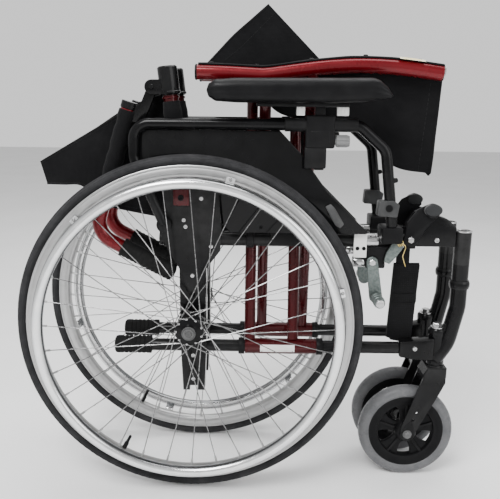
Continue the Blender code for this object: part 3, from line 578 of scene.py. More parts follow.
def rear_wheel(word, side):
    add = adder(word, "rear_wheel")
    y = side * WHEEL_Y
    centre = (0, y, HUB_Z)
    tread = mm(
        271.2, 7.4, 283.5, 7.4, 285, 8.6, 287.5, 11.2, 290, 12.4, 292.5, 12.1, 293.2, 11.2, 294.4, 11.2,
        295, 10.6, 297.2, 8.2, 297.9, 6.9, 297.4, 6.2, 298.8, 5, 299.5, 3, 298.8, 2.2, 298.8, 1.4, 299.8,
        0.8,
    )

    def knobs(place, index):
        """The notches of the tread, at the outline's points on its shoulders."""
        return -0.0014 if index % 2 and place in (7, 8, 9, 22, 23, 24) else 0.0

    add("tyre_rubber", [lathe(mirrored(tread), centre, 288, ripple=knobs)], "tyre", "tyre")

    outer = mm(
        282.8, 8, 282.8, 9.8, 281.8, 10.5, 280, 10.5, 279, 9.8, 278.2, 9.8, 277.4, 10.4, 270, 10.4, 266.8,
        9.8, 264, 8.2, 261.8, 5.2, 260.9, 2,
    )
    bed = [(0.2706, -0.0079), (0.2706, 0.0079)]
    add("rim_extrusion", [lathe(mirrored(outer) + bed, centre, 180)], "silver", "rim")

    turns = [tau * k / 20 for k in range(20)]
    ring = [(0.2553 + 0.0094 * cos(a), 0.0094 * sin(a)) for a in turns]
    grip, screws = [lathe(ring, (0, side * HANDRIM_Y, HUB_Z), 180)], []
    strap = mm(
        105.8, 273.5, 108.8, 273.5, 108.8, 265, 111.2, 261.6, 126.2, 261.6, 126.2, 259, 110, 259, 105.8,
        263,
    )
    for index in range(6):
        turn = Matrix.Translation((0, 0, HUB_Z)) @ Matrix.Rotation(tau * (index + 0.25) / 6, 4, "Y")
        bracket = extruded([(-0.008, side * y, z) for y, z in strap], (0.016, 0, 0), 0.0006, 1)
        bolt = screw((0, side * 0.1088, 0.2692), (0, side, 0), 0.003, 0.002)
        grip.append(moved(bracket, turn))
        screws.append(moved(bolt, turn))
    add("push_rim", grip, "polished", "handrim")
    add("push_rim_screws", screws, "steel")

    half = mm(
        12.6, 29.6, 12.6, 22.8, 15, 21.2, 23.6, 20.4, 25, 19.2, 25, 16.2, 23.2, 15, 15.8, 12.8, 13.2, 6,
    )
    shell = mirrored(half) + [(0.0069, -0.0296), (0.0069, 0.0296)]
    add("hub_shell", [lathe(shell, centre, 48)], "black_paint", "wheel_hub")
    cap = mm(6.4, 28.6, 11.8, 28.6, 11.8, 30.6, 10.4, 31.2, 6.4, 31.2)
    add("hub_bearings", [lathe(outward(face, cap), centre, 32) for face in (-1, 1)], "dark_grey")

    wires, heads, nipples = [], [], []
    for index in range(SPOKES):
        flange = 1 if index % 2 else -1
        trail = 1 if index % 4 < 2 else -1
        at_rim = tau * index / SPOKES
        at_hub = at_rim + trail * radians(70)
        shift = flange * (0.0181 + 0.003 * trail)
        foot = Vector((FLANGE * sin(at_hub), y + shift, HUB_Z + FLANGE * cos(at_hub)))
        out = Vector((sin(at_rim), 0, cos(at_rim)))
        end = Vector((0, y + flange * 0.0012, HUB_Z)) + out * 0.2612
        back = (foot - end).normalized()
        wires.append(tube([foot, end], 0.00092, 6, 0.0))
        bend = Vector((0, trail * flange, 0))
        heads.append(screw(foot - bend * 0.0006, bend, 0.0021, 0.0016))
        nipples.append(tube([end, end + back * 0.011], 0.002, 8, 0.0006))
    add("spokes", wires, "spoke")
    add("spoke_heads", heads, "steel")
    add("spoke_nipples", nipples, "silver")
    out = Vector((sin(VALVE_ANGLE), 0, cos(VALVE_ANGLE)))
    root = Vector(centre) + out * 0.262
    path = [root - out * depth for depth in (0.0, 0.012, 0.013, 0.028)]
    add("valve", [tube(path, [0.0042, 0.0042, 0.003, 0.0026])], "black_plastic")


def caster(word, side):
    add = adder(word, "caster_wheel")
    centre = Vector((CASTER.x, side * CASTER.y, CASTER.z))
    half = mm(69, 10.8, 70.5, 12.4, 73, 13.6, 76.5, 14, 80.5, 13.4, 84, 11.2, 86.2, 7.8, 87.3, 4)
    add("caster_tread", [lathe(mirrored(half), centre, 120)], "caster_tyre", "caster_tyre")
    rim = mm(69.2, 10.6, 66.8, 11, 60, 10.4, 52.5, 8.8, 50.8, 5)
    middle = mm(20.5, 6, 19, 11, 16.2, 15.2, 14, 16.2, 6, 16.2)
    shapes = [lathe(mirrored(rim), centre, 96), lathe(mirrored(middle), centre, 48)]
    web = mm(-10.5, 17, 10.5, 17, 10.5, 28, 14.5, 40, 22.5, 52, -22.5, 52, -14.5, 40, -10.5, 28)
    rib = mm(-2, 17, 2, 17, 2.2, 58, -2.2, 58)
    for index in range(5):
        turn = Matrix.Translation(centre) @ Matrix.Rotation(tau * index / 5, 4, "Y")
        for outline, thick in ((web, 0.0042), (rib, 0.0074)):
            shapes.append(moved(prism(outline, 1, -thick, thick), turn))
    add("caster_spider", shapes, "black_plastic", "caster_wheel")
    bolts = []
    for end in (-1, 1):
        spot = centre + Vector((0, end * 0.0224, 0))
        bolts.append(washer(spot, (0, end, 0), 0.0042, 0.0082))
        bolts.append(nut(spot + Vector((0, end * 0.0012, 0)), (0, end, 0), 0.0066, 0.0042))
    add("caster_bolts", bolts, "dark_grey", on="caster_fork")
    stem = mm(0, 218, 12, 218, 15, 218.2, 15, 218.6, 0, 218.6)
    add("stem_washer", [lathe(stem, (STEM_X, centre.y, -0.0002), 40, "Z")], "steel", on="caster_fork")


def frame_side(word, side):
    add = adder(word, "frame")
    y = side * FRAME_Y
    upper = tube([(-0.057, y, UPPER_Z), (0.3897, y, UPPER_Z)], TUBE, 32)
    add("upper_rail", [upper], "black_paint", "upper_tube")
    saddle = mm(138, 440, 190, 440, 190, 494.5, 182, 494.5, 178, 470, 150, 470, 146, 494.5, 138, 494.5)
    add("rail_saddle", [prism(saddle, side, 0.0315, 0.0585, 0.0015)], "black_plastic")
    receiver = box((0.326, side * 0.034, 0.45), (0.362, side * 0.0815, 0.478), 0.003, 3)
    add("arm_receiver", [receiver], "black_plastic")
    rings = []
    for x in (-0.05, 0.095, 0.232):
        outline = [(0.0123, x), (0.0146, x + 0.001), (0.0146, x + 0.013), (0.0123, x + 0.014)]
        rings.append(lathe(outline, (0, y, UPPER_Z), 32, "X"))
    clip = box((0.096, side * 0.04, 0.434), (0.108, side * 0.05, 0.474), 0.002)
    add("upper_collars", [*rings, clip], "black_plastic")

    lower = tube([(-0.1, y, LOWER_Z), (0.3737, y, LOWER_Z)], 0.011, 32)
    add("lower_rail", [lower], "black_paint", "lower_tube")
    ribs = mm(11.6, -76.5, 15.8, -76.5, 16, -79)
    for step in range(6):
        x = -0.084 - step * 0.008
        ribs += [(0.016, x), (0.015, x - 0.001), (0.015, x - 0.003), (0.016, x - 0.004)]
    ribs += mm(16, -137, 15, -140.4, 12.5, -141.8, 0, -142, 0, -100.5, 11.6, -100.5)
    add("tip_rubber", [lathe(ribs, (0, y, LOWER_Z), 40, "X")], "grip", "rear_tip")

    # front tube with its hanger socket
    path = rounded(level(y, 475, 410, 475, 330, 461, 262, 440, 229), 0.07, 10)
    socket = mm(11.7, 409, 14.5, 409, 14.5, 467.6, 11.7, 467.6)
    bulge = mm(14, 364.5, 16.5, 364.8, 17.8, 369, 18, 372, 17.8, 375, 16.5, 379.2, 14, 379.5)
    lug = mm(390, 441, 460, 441, 460, 475, 444, 489.5, 430, 494.5, 418, 495.5, 405, 489, 390, 466)
    web = mm(438, 230, 453, 231.5, 465, 256, 470, 300, 458, 302, 450, 290, 438, 274)
    shapes = [tube(path, 0.0145, 32)] + [lathe(ring, (POST_X, y, 0), 40, "Z") for ring in (socket, bulge)]
    shapes += [prism(lug, side, 0.0335, 0.0565, 0.0025, 3), prism(web, side, 0.0365, 0.0535, 0.003, 3)]
    add("front_post", shapes, "black_paint", "front_tube")
    lip = mm(11.3, 466.8, 14.7, 466.8, 14.9, 468, 14.5, 469, 11.6, 469)
    add("socket_lip", [lathe(lip, (POST_X, y, 0), 40, "Z")], "steel")

    # caster head
    head = mm(
        0, 218.7, 15.3, 218.7, 15.5, 220, 15.5, 230, 15, 231, 15, 274, 15.5, 275, 15.5, 285, 14.8, 287,
        12.5, 289.5, 0, 289.5,
    )
    lump = mm(374, 236, 400, 231, 436, 229, 436, 272, 418, 268, 374, 265)
    caster_y = side * CASTER.y
    shapes = [lathe(head, (STEM_X, caster_y, 0), 40, "Z"), prism(lump, side, 0.0315, 0.0575, 0.003, 3)]
    add("caster_head", shapes, "black_paint", "caster_housing")
    bolts = [washer((STEM_X, caster_y, 0.2893), (0, 0, 1), 0.004, 0.0118, 0.0016)]
    bolts.append(nut((STEM_X, caster_y, 0.2909), (0, 0, 1), 0.0082, 0.0068))
    bolts.append(screw((0.401, side * 0.0575, 0.253), (0, side, 0), 0.0044, 0.0026))
    bolts.append(screw((0.426, side * 0.0565, 0.453), (0, side, 0), 0.0046, 0.003))
    high = level(side * 0.06, -13, 484, 34, 438, 17.5, 522, -10, 472.5)
    low = level(side * 0.06, 1, 190, 1, 236, 1, 270, 1, 385)
    for head, spots in ((0.0026, high), (0.0022, low)):
        bolts += [screw(spot, (0, side, 0), 0.004, head) for spot in spots]
    add("frame_bolts", bolts, "steel")
    ring = mm(6.1, 125.5, 8.6, 125.5, 9, 126.6, 8.6, 129, 6.1, 129)
    add("axle_ring", [lathe(outward(side, ring), (0, 0, HUB_Z), 32)], "dark_grey", on="rear_wheel")


def cane(word, side):
    add = adder(word, "frame")
    y = side * FRAME_Y
    lean = Vector((-sin(LEAN), 0, cos(LEAN)))

    def at(z):
        return CANE_FOOT + Vector((0, y, 0)) + lean * ((z - CANE_FOOT.z) / lean.z)

    def ring(low, high, radius, chamfer):
        return tube([at(low), at(high)], radius, 32, chamfer)

    foot = box((-0.032, y - 0.0122, 0.508), (-0.001, y + 0.0122, 0.553), 0.003, 3)
    boss = box((-0.031, side * 0.057, 0.509), (-0.003, side * 0.0632, 0.542), 0.002)
    # the lower cane and its ring take the darkened red, as painted shade
    add("lower_cane", [tube([at(0.463), at(0.736)], TUBE, 32), foot, boss], "deep_red", "back_cane")
    bolt = screw((-0.0175, side * 0.0632, 0.523), (0, side, 0), 0.0052, 0.0026)
    add("cane_foot_bolt", [bolt], "black_plastic")
    cup = [ring(0.694, 0.741, 0.0168, 0.0022), ring(0.6955, 0.7005, 0.018, 0.0012)]
    px, pz = CANE_PIVOT.x, CANE_PIVOT.z
    ear = [(-0.034, pz + EAR), (px, pz + EAR), *arc((px, pz), EAR, 100, 260, 12)]
    ear += [(px, pz - EAR), (-0.034, pz - EAR)]
    for near, far in ((0.033, 0.037), (0.053, 0.057)):
        cup.append(prism(ear, side, near, far))
    cup.append(tube([(px, side * 0.031, pz), (px, side * 0.059, pz)], 0.0042, 20, 0.001))
    add("hinge_cup", cup, "gloss_plastic")
    add("cane_ring", [ring(0.688, 0.6925, 0.0145, 0.001)], "deep_red")
    # the cloth sleeve of the lower cane, fuller towards its foot
    path = [at(0.56 + 0.124 * k / 20) for k in range(21)]
    swell = []
    for k in range(21):
        fold = 0.0012 * sin(k * 1.9) + 0.0008 * sin(k * 0.8 + 1.0)
        swell.append(SLEEVE + 0.0052 * (1 - k / 20) + fold * (1 - k / 26))
    add("lower_sleeve", [tube(path, swell, 28, 0.0008)], "fabric")


def folded(bm):
    """Turn a shape drawn with the cane upright to where it lies with the cane folded."""
    turn = Matrix.Rotation(-CANE_FOLD, 4, "Y")
    return moved(bm, Matrix.Translation(CANE_PIVOT) @ turn @ Matrix.Translation(-CANE_PIVOT))


def folding_cane(word, side):
    add = adder(word, "folding_cane")
    y = side * FRAME_Y
    start, corner = Vector((-0.039, y, 0.745)), Vector((-0.0655, y, 0.979))
    grip_end = Vector((-0.2155, y, 0.9905))
    run = (grip_end - corner).normalized()
    grip_start = grip_end - run * 0.098
    path = rounded([start, corner, grip_start + run * 0.01], 0.038, 14)
    px, pz = CANE_PIVOT.x, CANE_PIVOT.z
    knuckle = [(px + 0.0074, 0.7415), (-0.05, 0.747), (-0.045, 0.775), (px - 0.009, 0.77)]
    knuckle += arc((px, pz), 0.009, 180, 325, 10)
    add("upper_cane", [folded(tube(path, TUBE, 32))], "red_paint", "folding_cane")
    up = (corner - start).normalized()
    collar = tube([start - Vector((0, 0, 0.0006)), start + up * 0.012], 0.014, 32, 0.001)
    tongue = prism(knuckle, side, 0.038, 0.052)
    add("hinge_tongue", [folded(tongue), folded(collar)], "gloss_plastic")
    line = [start + up * (0.014 + 0.158 * k / 24) for k in range(25)]
    swell = [SLEEVE + 0.0012 * sin(k * 1.3) * sin(k * 0.45) + 0.0008 * (k / 24) for k in range(25)]
    hem = tube([line[-1] - up * 0.006, line[-1] + up * 0.0006], 0.0162, 28, 0.001)
    add("upper_sleeve", [folded(tube(line, swell, 28, 0.0008))], "fabric")
    add("sleeve_hem", [folded(hem)], "webbing")
    # a collar, ribs and a rounded end along the hand grip
    profile = []
    for k in range(GRIP_STEPS + 1):
        t = k / GRIP_STEPS
        radius = 0.0165 if k < 3 else 0.0152 + (0.0007 if k % 4 < 2 else 0.0)
        if t > 0.93:
            radius = 0.0158 * sqrt(max(1 - ((t - 0.93) / 0.07) ** 2 * 0.92, 0.02))
        profile.append(radius)
    stations = [grip_start + run * (0.104 * (k / GRIP_STEPS)) for k in range(GRIP_STEPS + 1)]
    add("hand_grip", [folded(tube(stations, profile, 28, 0.0))], "grip", "push_grip")


def rail_z(x):
    """The height of a folded seat rail's middle line, with its slow S."""
    swing = FRAME_Y / 0.25
    height = LOWER_Z + 0.486 * sqrt(1 - swing * swing)
    wave = sin(pi * (x - 0.12) / 0.34) if x > 0.12 else 0.0
    rise = 0.017 * max(wave, 0.0) ** 1.2 + 0.004 * cos(pi * min(x, 0.12) / 0.24)
    return height + rise


def on_rail(x, y):
    return Vector((x, y, rail_z(x)))


def brace(word, side):
    """The welded X half: sleeve, two struts and the seat rail of the other side."""
    add = adder(word, "brace")
    foot_y, rail_y = side * FRAME_Y, -side * RAIL_Y
    struts = {"right": (0.103, 0.181), "left": (0.125, 0.203)}[word]
    sleeve = mm(11.9, 94.5, 14, 94.5, 14, 223.5, 11.9, 223.5)
    shapes = [lathe(sleeve, (0, foot_y, LOWER_Z), 32, "X")]
    for x in struts:
        foot, head = Vector((x, foot_y, LOWER_Z)), on_rail(x, rail_y)
        shapes.append(tube([foot + (head - foot).normalized() * TUBE, head], 0.01, 24))
    # the struts and sleeve take the darkened red, as painted shade; the seat rail keeps the lit red
    add("cross_brace", shapes, "deep_red", "brace")
    rail = [on_rail(0.009 + 0.411 * k / 40, rail_y) for k in range(41)]
    add("seat_rail", [tube(rail, TUBE, 32, 0.0015)], "red_paint")
    collars = []
    for x in (0.0825, 0.224):
        ring = [(0.0118, x), (0.0146, x), (0.0152, x + 0.001), (0.0152, x + 0.01)]
        ring += [(0.0146, x + 0.011), (0.0118, x + 0.011)]
        collars.append(lathe(ring, (0, foot_y, LOWER_Z), 32, "X"))
    add("brace_collars", collars, "black_plastic")
    ahead, back = (rail[-1] - rail[-2]).normalized(), (rail[0] - rail[1]).normalized()
    cap = tube([rail[-1] - ahead * 0.001, rail[-1] + ahead * 0.0014], 0.0128, 32, 0.0008)
    add("rail_end", [cap], "steel")
    plug = tube([rail[0] - back * 0.002, rail[0] + back * 0.002], 0.0131, 32)
    add("rail_plug", [plug], "black_plastic")
    label = []
    for k in range(9):
        angle = radians(-28 + 56 * k / 8)
        y, z = foot_y + side * LABEL_RADIUS * cos(angle), LOWER_Z + LABEL_RADIUS * sin(angle)
        label.append([Vector((x, y, z)) for x in (0.122, 0.138, 0.154, 0.17, 0.184)])
    add("blank_label", [sheet(label, LABEL)], "label")
    spots = [(x, foot_y + side * 0.0134, LOWER_Z - 0.005) for x in (0.125, 0.181)]
    add("label_pins", [screw(spot, (0, side, -0.35), 0.0011, 0.0008) for spot in spots], "steel")


def rail_cover(word, side):
    """What of this side's sling is wrapped over the rail that the other side's brace carries."""
    holder = f"{OTHER[word]}_brace"
    rows = []
    for k in range(61):
        x = 0.0125 + 0.408 * k / 60
        middle = on_rail(x, side * RAIL_Y)
        row = []
        for j in range(11):
            angle = radians(-12 + 128 * j / 10)
            puff = 0.0016 * sin(pi * min(j / 10 + 0.15, 1.0)) * (1.2 + 0.5 * sin(k * 0.55))
            reach = 0.0142 + puff
            row.append(middle + Vector((0, -side * cos(angle) * reach, sin(angle) * reach)))
        rows.append(row)
    cover = piece(f"{word}_rail_cover", [sheet(rows, 0.0022)], "fabric", holder)
    spots = [Vector((x, side * RAIL_Y, rail_z(x) + 0.0156)) for x in (0.035, 0.11, 0.2, 0.29, 0.38)]
    heads = [screw(spot, (0, side * 0.15, 1), 0.004, 0.002) for spot in spots]
    piece(f"{word}_rail_screws", heads, "black_paint", holder)
    round_rail = [
        Vector((0, side * cos(a) * 0.0176, sin(a) * 0.0176))
        for a in map(radians, (50, 57, 64, 71))
    ]
    tag = [[on_rail(0.345 + 0.042 * k / 5, side * RAIL_Y) + out for out in round_rail] for k in range(6)]
    piece(f"{word}_rail_tag", [sheet(tag, LABEL)], "pale_label", holder)


def armrest(word, side):
    add = adder(word, "armrest")
    y = side * ARM_Y
    corners = level(y, 344, 478.5, 327, 607, 281, 648, -94, 648, -94, 590, -45, 478)
    shapes = [tube(rounded(corners, 0.028, 10), 0.0095, 28)]
    shapes.append(prism(arc((-0.045, 0.478), 0.013, 0, 350, 24), side, 0.0632, 0.0798, 0.001))
    add("arm_hoop", shapes, "black_paint", "arm_tube")
    clamp = box((0.1915, y - 0.0099, 0.61), (0.2405, y + 0.0099, 0.664), 0.004, 3)
    lugs = box((0.1985, y - 0.0105, 0.618), (0.233, y + 0.0105, 0.64), 0.003, 3)
    collars = [
        tube(level(y, *ends), 0.0112, 28, 0.0015)
        for ends in ((157, 648, 194, 648), (237.5, 648, 278, 648))
    ]
    socket = box((0.1905, y - 0.0085, 0.5765), (0.227, y + 0.0085, 0.612), 0.003)
    add("arm_clamp", [clamp, lugs, *collars, socket], "black_plastic")
    knob = mm(0, 239, 6, 239, 6.2, 242, 9.6, 243, 10.4, 246, 10.4, 260, 8.8, 265, 0, 266)

    def flutes(place, index):
        return -0.0012 if index % 6 < 2 and 3 <= place <= 6 else 0.0

    add("clamp_knob", [lathe(knob, (0, y, 0.622), 48, "X", flutes)], "grey_plastic")
    latch = mm(316, 498.5, 350, 496, 353, 518, 342, 525, 318, 524)
    add("arm_latch", [prism(latch, side, 0.0606, 0.0834, 0.0022, 3)], "dark_grey")
    button = outward(side, mm(0, 83.3, 5, 83.3, 6.2, 84.5, 5, 84.6, 0, 83.8))
    pin = tube(level(y, 340, 557, 349, 558.5), [0.0045, 0.0038], 20)
    add("arm_button", [lathe(button, (0.335, 0, 0.512), 24), pin], "black_plastic")
    clip = mm(229, 512, 238, 517, 246, 509, 262, 482, 256, 475, 247, 480)
    add("guard_clip", [prism(clip, side, 0.0702, 0.0742, 0.0012)], "dark_grey")
    spots = level(side * 0.07, -60, 586, 120, 474, 236, 500)
    add("guard_rivets", [screw(spot, (0, side, 0), 0.003, 0.0016) for spot in spots], "black_plastic")
    panel = mm(
        -82.5, 600, -80, 637.5, 150, 637.5, 186, 600, 230, 540, 305, 466, 300, 464.5, 68, 464.5, 56, 478,
        50, 540, 34, 556, -45, 556, -70, 540,
    )
    add("guard_panel", [prism(panel, side, 0.0661, 0.0699, 0.0012)], "gloss_plastic", "side_guard")

    post = box((0.2075, y - 0.005, 0.574), (0.2235, y + 0.005, 0.678), 0.0012)
    plate = box((0.11, side * 0.064, 0.677), (0.262, side * 0.084, 0.684), 0.002)
    add("pad_mount", [post, plate], "black_plastic", "pad_post", on="arm_pad", slot="black_plastic")
    ribs = []
    for low, high in ((0.176, 0.19), (0.2425, 0.262)):
        ribs.append(box((low, y - 0.006, 0.663), (high, y + 0.0085, 0.6775), 0.0015))
        count = int((high - low) / 0.0048)
        for k in range(count):
            x = low + 0.003 + 0.0048 * k
            ribs.append(box((x, y - 0.0068, 0.665), (x + 0.0018, y + 0.0093, 0.6765), 0.0004, 1))
    add("pad_clips", ribs, "label", on="arm_pad")
    arm_pad(word, side)


PAD_TOP = mm(
    30, 703, 33.5, 712, 45, 718, 80, 720.5, 160, 721.2, 240, 721.8, 296, 722.5, 306, 719.5, 316, 711, 329,
    696,
)
PAD_UNDER = mm(
    30, 700, 33.5, 690.5, 45, 684.5, 80, 683, 150, 682.8, 230, 683, 275, 685, 305, 688, 320, 690, 329, 695,
)


def height_at(line, x):
    for (x0, z0), (x1, z1) in zip(line, line[1:]):
        if x <= x1:
            t = max((x - x0) / (x1 - x0), 0.0)
            return z0 + (z1 - z0) * t * t * (3 - 2 * t) if t < 1 else z1
    return line[-1][1]


def arm_pad(word, side):
    """A crowned foam pad: rounded shoulders, a parting seam round its waist and a tucked nose."""
    bm = bmesh.new()
    rings = []
    stations = 56
    for k in range(stations + 1):
        t = 0.5 - 0.5 * cos(pi * k / stations)
        x = 0.0302 + 0.2986 * t
        high, low = height_at(PAD_TOP, x), height_at(PAD_UNDER, x)
        taper = sqrt(max(1 - abs(2 * t - 1) ** 7, 0.0))
        half = 0.012 + 0.0132 * taper
        ring = []
        for j in range(40):
            angle = tau * j / 40
            c, s = cos(angle), sin(angle)
            power = 0.62 if s > 0 else 0.5
            across = copysign(abs(c) ** power, c) * half
            up = copysign(abs(s) ** 0.72, s)
            middle, rise = (high + low) / 2, (high - low) / 2
            crown = 0.0012 * (1 - (across / half) ** 2) if s > 0.3 else 0.0
            seam = 0.0011 * exp(-((up / 0.09) ** 2))
            across -= copysign(seam, c)
            ring.append(bm.verts.new((x, side * 0.088 + across, middle + up * rise + crown)))
        rings.append(ring)
    bridge(bm, rings)
    bm.faces.new(rings[0])
    bm.faces.new(rings[-1])
    cushion = adder(word, "arm_pad")("arm_cushion", [bm], "pad", "arm_pad", sharp=60.0)
    smooth(cushion, 1)


def smooth(obj, levels):
    """Apply a subdivision surface."""
    obj.modifiers.new("subdivision", "SUBSURF").levels = levels
    mesh = bpy.data.meshes.new_from_object(obj.evaluated_get(bpy.context.evaluated_depsgraph_get()))
    obj.modifiers.clear()
    obj.data = mesh
    mesh.shade_smooth()


def wheel_lock(word, side):
    add = adder(word, "frame")
    turns = [tau * k / 28 for k in range(28)]
    oval = [(0.413 + 0.015 * cos(a), 0.5075 + 0.0105 * sin(a)) for a in turns]
    add("lever_knob", [prism(oval, side, 0.059, 0.0752, 0.0035, 3)], "dark_grey", on="brake_lever")
    add("lever_nut", [nut((0.379, side * 0.066, 0.455), (0, side, 0), 0.0058, 0.0036)], "steel")
    web = mm(
        305, 402, 325, 402, 334, 412, 342, 418, 345, 436, 389.5, 438, 389.5, 446, 386, 456, 374, 456, 372,
        446, 304, 438, 301, 414,
    )
    barrel = tube(level(side * 0.05, 306, 424, 347, 424), 0.0098, 28, 0.002)
    stop = tube(level(side * 0.054, 306, 407.5, 338, 407.5), 0.0062, 24, 0.0015)
    shapes = [barrel, stop, prism(web, side, 0.05, 0.0602, 0.0016)]
    add("lock_body", shapes, "black_plastic", "brake_bracket")
    bolts = [nut((0.315, side * 0.066, 0.414), (0, side, 0), 0.0062, 0.0036)]
    bolts += [screw((x, side * 0.0602, 0.4425), (0, side, 0), 0.003, 0.002) for x in (0.355, 0.366)]
    add("lock_bolts", bolts, "steel")
    sleeve = []
    for k in range(3):
        y = 0.07 + 0.0105 * k
        ring = [(0.0088, y), (0.01, y + 0.001), (0.01, y + 0.008), (0.0088, y + 0.009)]
        sleeve.append(lathe(outward(side, ring), (0.324, 0, 0.352), 32))
    add("shoe_sleeve", sleeve, "cast_metal", on="brake_shoe")
    head = nut((0.324, side * 0.1058, 0.352), (0, side, 0), 0.0078, 0.004)
    add("shoe_bolt", [head], "steel", on="brake_shoe")
    plate = box((0.282, side * 0.0592, 0.4215), (0.3045, side * 0.0622, 0.467))
    cap = mm(0, 282.5, 8.4, 282.5, 9.6, 284, 9.8, 303, 8.8, 304.5, 0, 304.5)
    roller = lathe(cap, (0, side * 0.0495, 0.412), 32, "X")
    band = mm(12.4, 305, 13.4, 305.2, 13.4, 325, 12.4, 325.2)
    sleeve = lathe(band, (0, side * FRAME_Y, UPPER_Z), 36, "X")
    add("lock_plate", [plate], "label")
    add("lock_roller", [roller, sleeve], "steel")
    dots = [screw((x, side * 0.0622, 0.438), (0, side, 0), 0.0034, 0.0018) for x in (0.2885, 0.2995)]
    add("lock_dots", dots, "black_plastic")
    link = mm(350, 452, 360, 456, 369, 449, 366, 438, 356, 424, 345, 411, 335, 415, 338, 431)
    add("lock_link", [prism(link, side, 0.0604, 0.065, 0.0014)], "cast_metal")
    hook = rounded(level(side * 0.0672, 359, 452, 371.5, 444, 366, 426, 372, 408), 0.006, 6)
    loop = coil((0.357, side * 0.0662, 0.447), (0.365, side * 0.069, 0.45), 0.0046, 0.0009, 3)
    add("spring_wire", [tube(hook, 0.0009, 10, 0.0003), loop], "brass")


# ---- upholstery ----

# each crease runs from the cloth's first course to its last
SEAT_CREASE = level(0, 129, 845, 418, 560)
LOWER_CREASE = level(0, -228, 600, -177, 502)
UPPER_CREASE = level(0, -273, 576, -263.1, 538.4)
LOWER_EDGE = level(0, -36, 700, -31, 645, -26, 590, -19, 530, -13, 475)
UPPER_EDGE = level(0, -112, 668, -124, 630, -136, 590, -148, 552, -159, 512)
SEAT_BELLY = level(
    0, 70.5, 793.5, 105, 735, 145, 672, 196, 656, 246, 647, 288, 637, 326, 612, 357, 579, 418.5, 572,
)
CLOTH_Y = 0.0295
COURSES, COURSE_STEPS = 72, 40


def crumple(point, size, seed):
    """A slow, repeatable unevenness in cloth."""
    return noise.noise(Vector((point.x * size, point.z * size, seed))) + 0.5 * noise.noise(
        Vector((point.x * size * 2.3, point.z * size * 2.3, seed + 7.0))
    )


def sling(word, name, line, nodes, bodies, wave):
    """Half of a sling from its tube to the middle crease, with the hems and stitching sewn on it.

    line(u) gives the points of the cloth across the sling, from the tube to the crease. wave is the
    rate and height of its folds.
    """
    name, side = f"{word}_{name}_sling", SIDES[word]
    rows = []
    for i in range(COURSES + 1):
        u = i / COURSES
        course = line(u)
        row = []
        for j in range(COURSE_STEPS + 1):
            v = j / COURSE_STEPS
            point = spline(course, v)
            fold = sin(u * wave[0] + 2.2 * v + side) * wave[1] + 0.0014 * crumple(point, 26.0, 3.0 + side)
            fold *= sin(pi * v) ** 0.8
            point.y = side * min(max(side * point.y + fold, 0.0024 - 0.0012 * v), CLOTH_Y)
            row.append(point)
        rows.append(row)
    replaces = [f"{word}_{node}" for node in nodes]
    cloth = piece(name, [sheet(rows, 0.0018)], "fabric", None, replaces, 70.0)
    hem = [tube(edge, 0.0019, 8, 0.0) for edge in (rows[0], rows[-1])]
    out = Vector((0, side * 0.0011, 0))
    stitches = []
    for seam_line in (rows[3], rows[-4]):
        for a, after in list(zip(seam_line, seam_line[1:]))[1:]:
            stitches.append(tube([a + out, a.lerp(after, 0.62) + out], 0.0005, 4, 0.0))
    seam = piece(f"{name}_hem", hem, "webbing")
    thread = piece(f"{name}_stitching", stitches, "thread")
    bodies = [f"{word}_{body}" for body in bodies]
    for obj in (cloth, seam, thread):
        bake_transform(obj)


def upholstery(word, side):
    def across(start, belly, end, depths):
        places = [start, start.lerp(belly, 0.5), belly, belly.lerp(end, 0.5), end]
        return [Vector((p.x, side * y, p.z)) for p, y in zip(places, depths)]

    def seat(u):
        x = 0.012 + 0.41 * u
        start, end = Vector((x, 0, rail_z(x) - 0.001)), SEAT_CREASE[0].lerp(SEAT_CREASE[1], u)
        return across(start, spline(SEAT_BELLY, u), end, (0.0285, 0.02, 0.012, 0.0062, 0.0012))

    parts = ["seat_front", "seat_rear"]
    sling(word, "seat", seat, parts, parts, (9.0, 0.0016))

    def lower(u):
        start, end = spline(LOWER_EDGE, u), LOWER_CREASE[0].lerp(LOWER_CREASE[1], u)
        middle = start.lerp(end, 0.42) + Vector((0.004, 0, 0.014)) * exp(-((u / 0.22) ** 2))
        return across(start, middle, end, (CLOTH_Y, 0.022, 0.014, 0.008, 0.0012))

    sling(
        word, "lower", lower, ["lower_back_half"], ["frame", "lower_back"],
        (7.0, 0.0018),
    )

    def upper(u):
        start, end = spline(UPPER_EDGE, u), UPPER_CREASE[0].lerp(UPPER_CREASE[1], u)
        middle = start.lerp(end, 0.45) + Vector((0.004, 0, 0.015)) * u**3
        return across(start, middle, end, (CLOTH_Y, 0.024, 0.019, 0.013, 0.007))

    sling(
        word, "upper", upper, ["upper_back_half"], ["folding_cane", "upper_back"],
        (6.0, 0.0012),
    )


def leg_strap():
    """A wide strap folded in three, hung by its loop inside the right frame."""
    rows = []
    turns = mm(
        15, 250, 15, 398, 15.8, 401.5, 17.2, 401.5, 18, 398, 18, 256, 18.8, 252.5, 20.2, 252.5, 21, 256,
        21, 400,
    )
    for across in range(9):
        t = across / 8
        row = []
        for y, z in turns:
            rise = (z - 0.25) / 0.15
            left, right = 0.356 + 0.0066 * rise, 0.401 + 0.0079 * rise
            drop = -0.016 * t * (1 - rise)
            row.append(Vector((left + (right - left) * t, -y, z + 0.01 * (1 - rise) + drop)))
        rows.append(row)
    strap = piece("leg_strap_web", [sheet(rows, 0.0022)], "webbing", "right_frame", ["leg_strap"], 50.0)
    loop = box((0.366, -0.017, 0.396), (0.39, -0.02, 0.47), 0.0006)
    buckle = box((0.36, -0.0226, 0.33), (0.406, -0.0242, 0.346), 0.0007)
    piece("strap_loop", [loop, buckle], "webbing", "right_frame")


# ---- carried-over CAD nodes ----

KEPT = {
    "axle_post": "black_paint",
    "brake_lever": "black_plastic",
    "brake_shoe": "cast_metal",
    "axle_button": "dark_grey",
    "caster_fork": "black_paint",
}


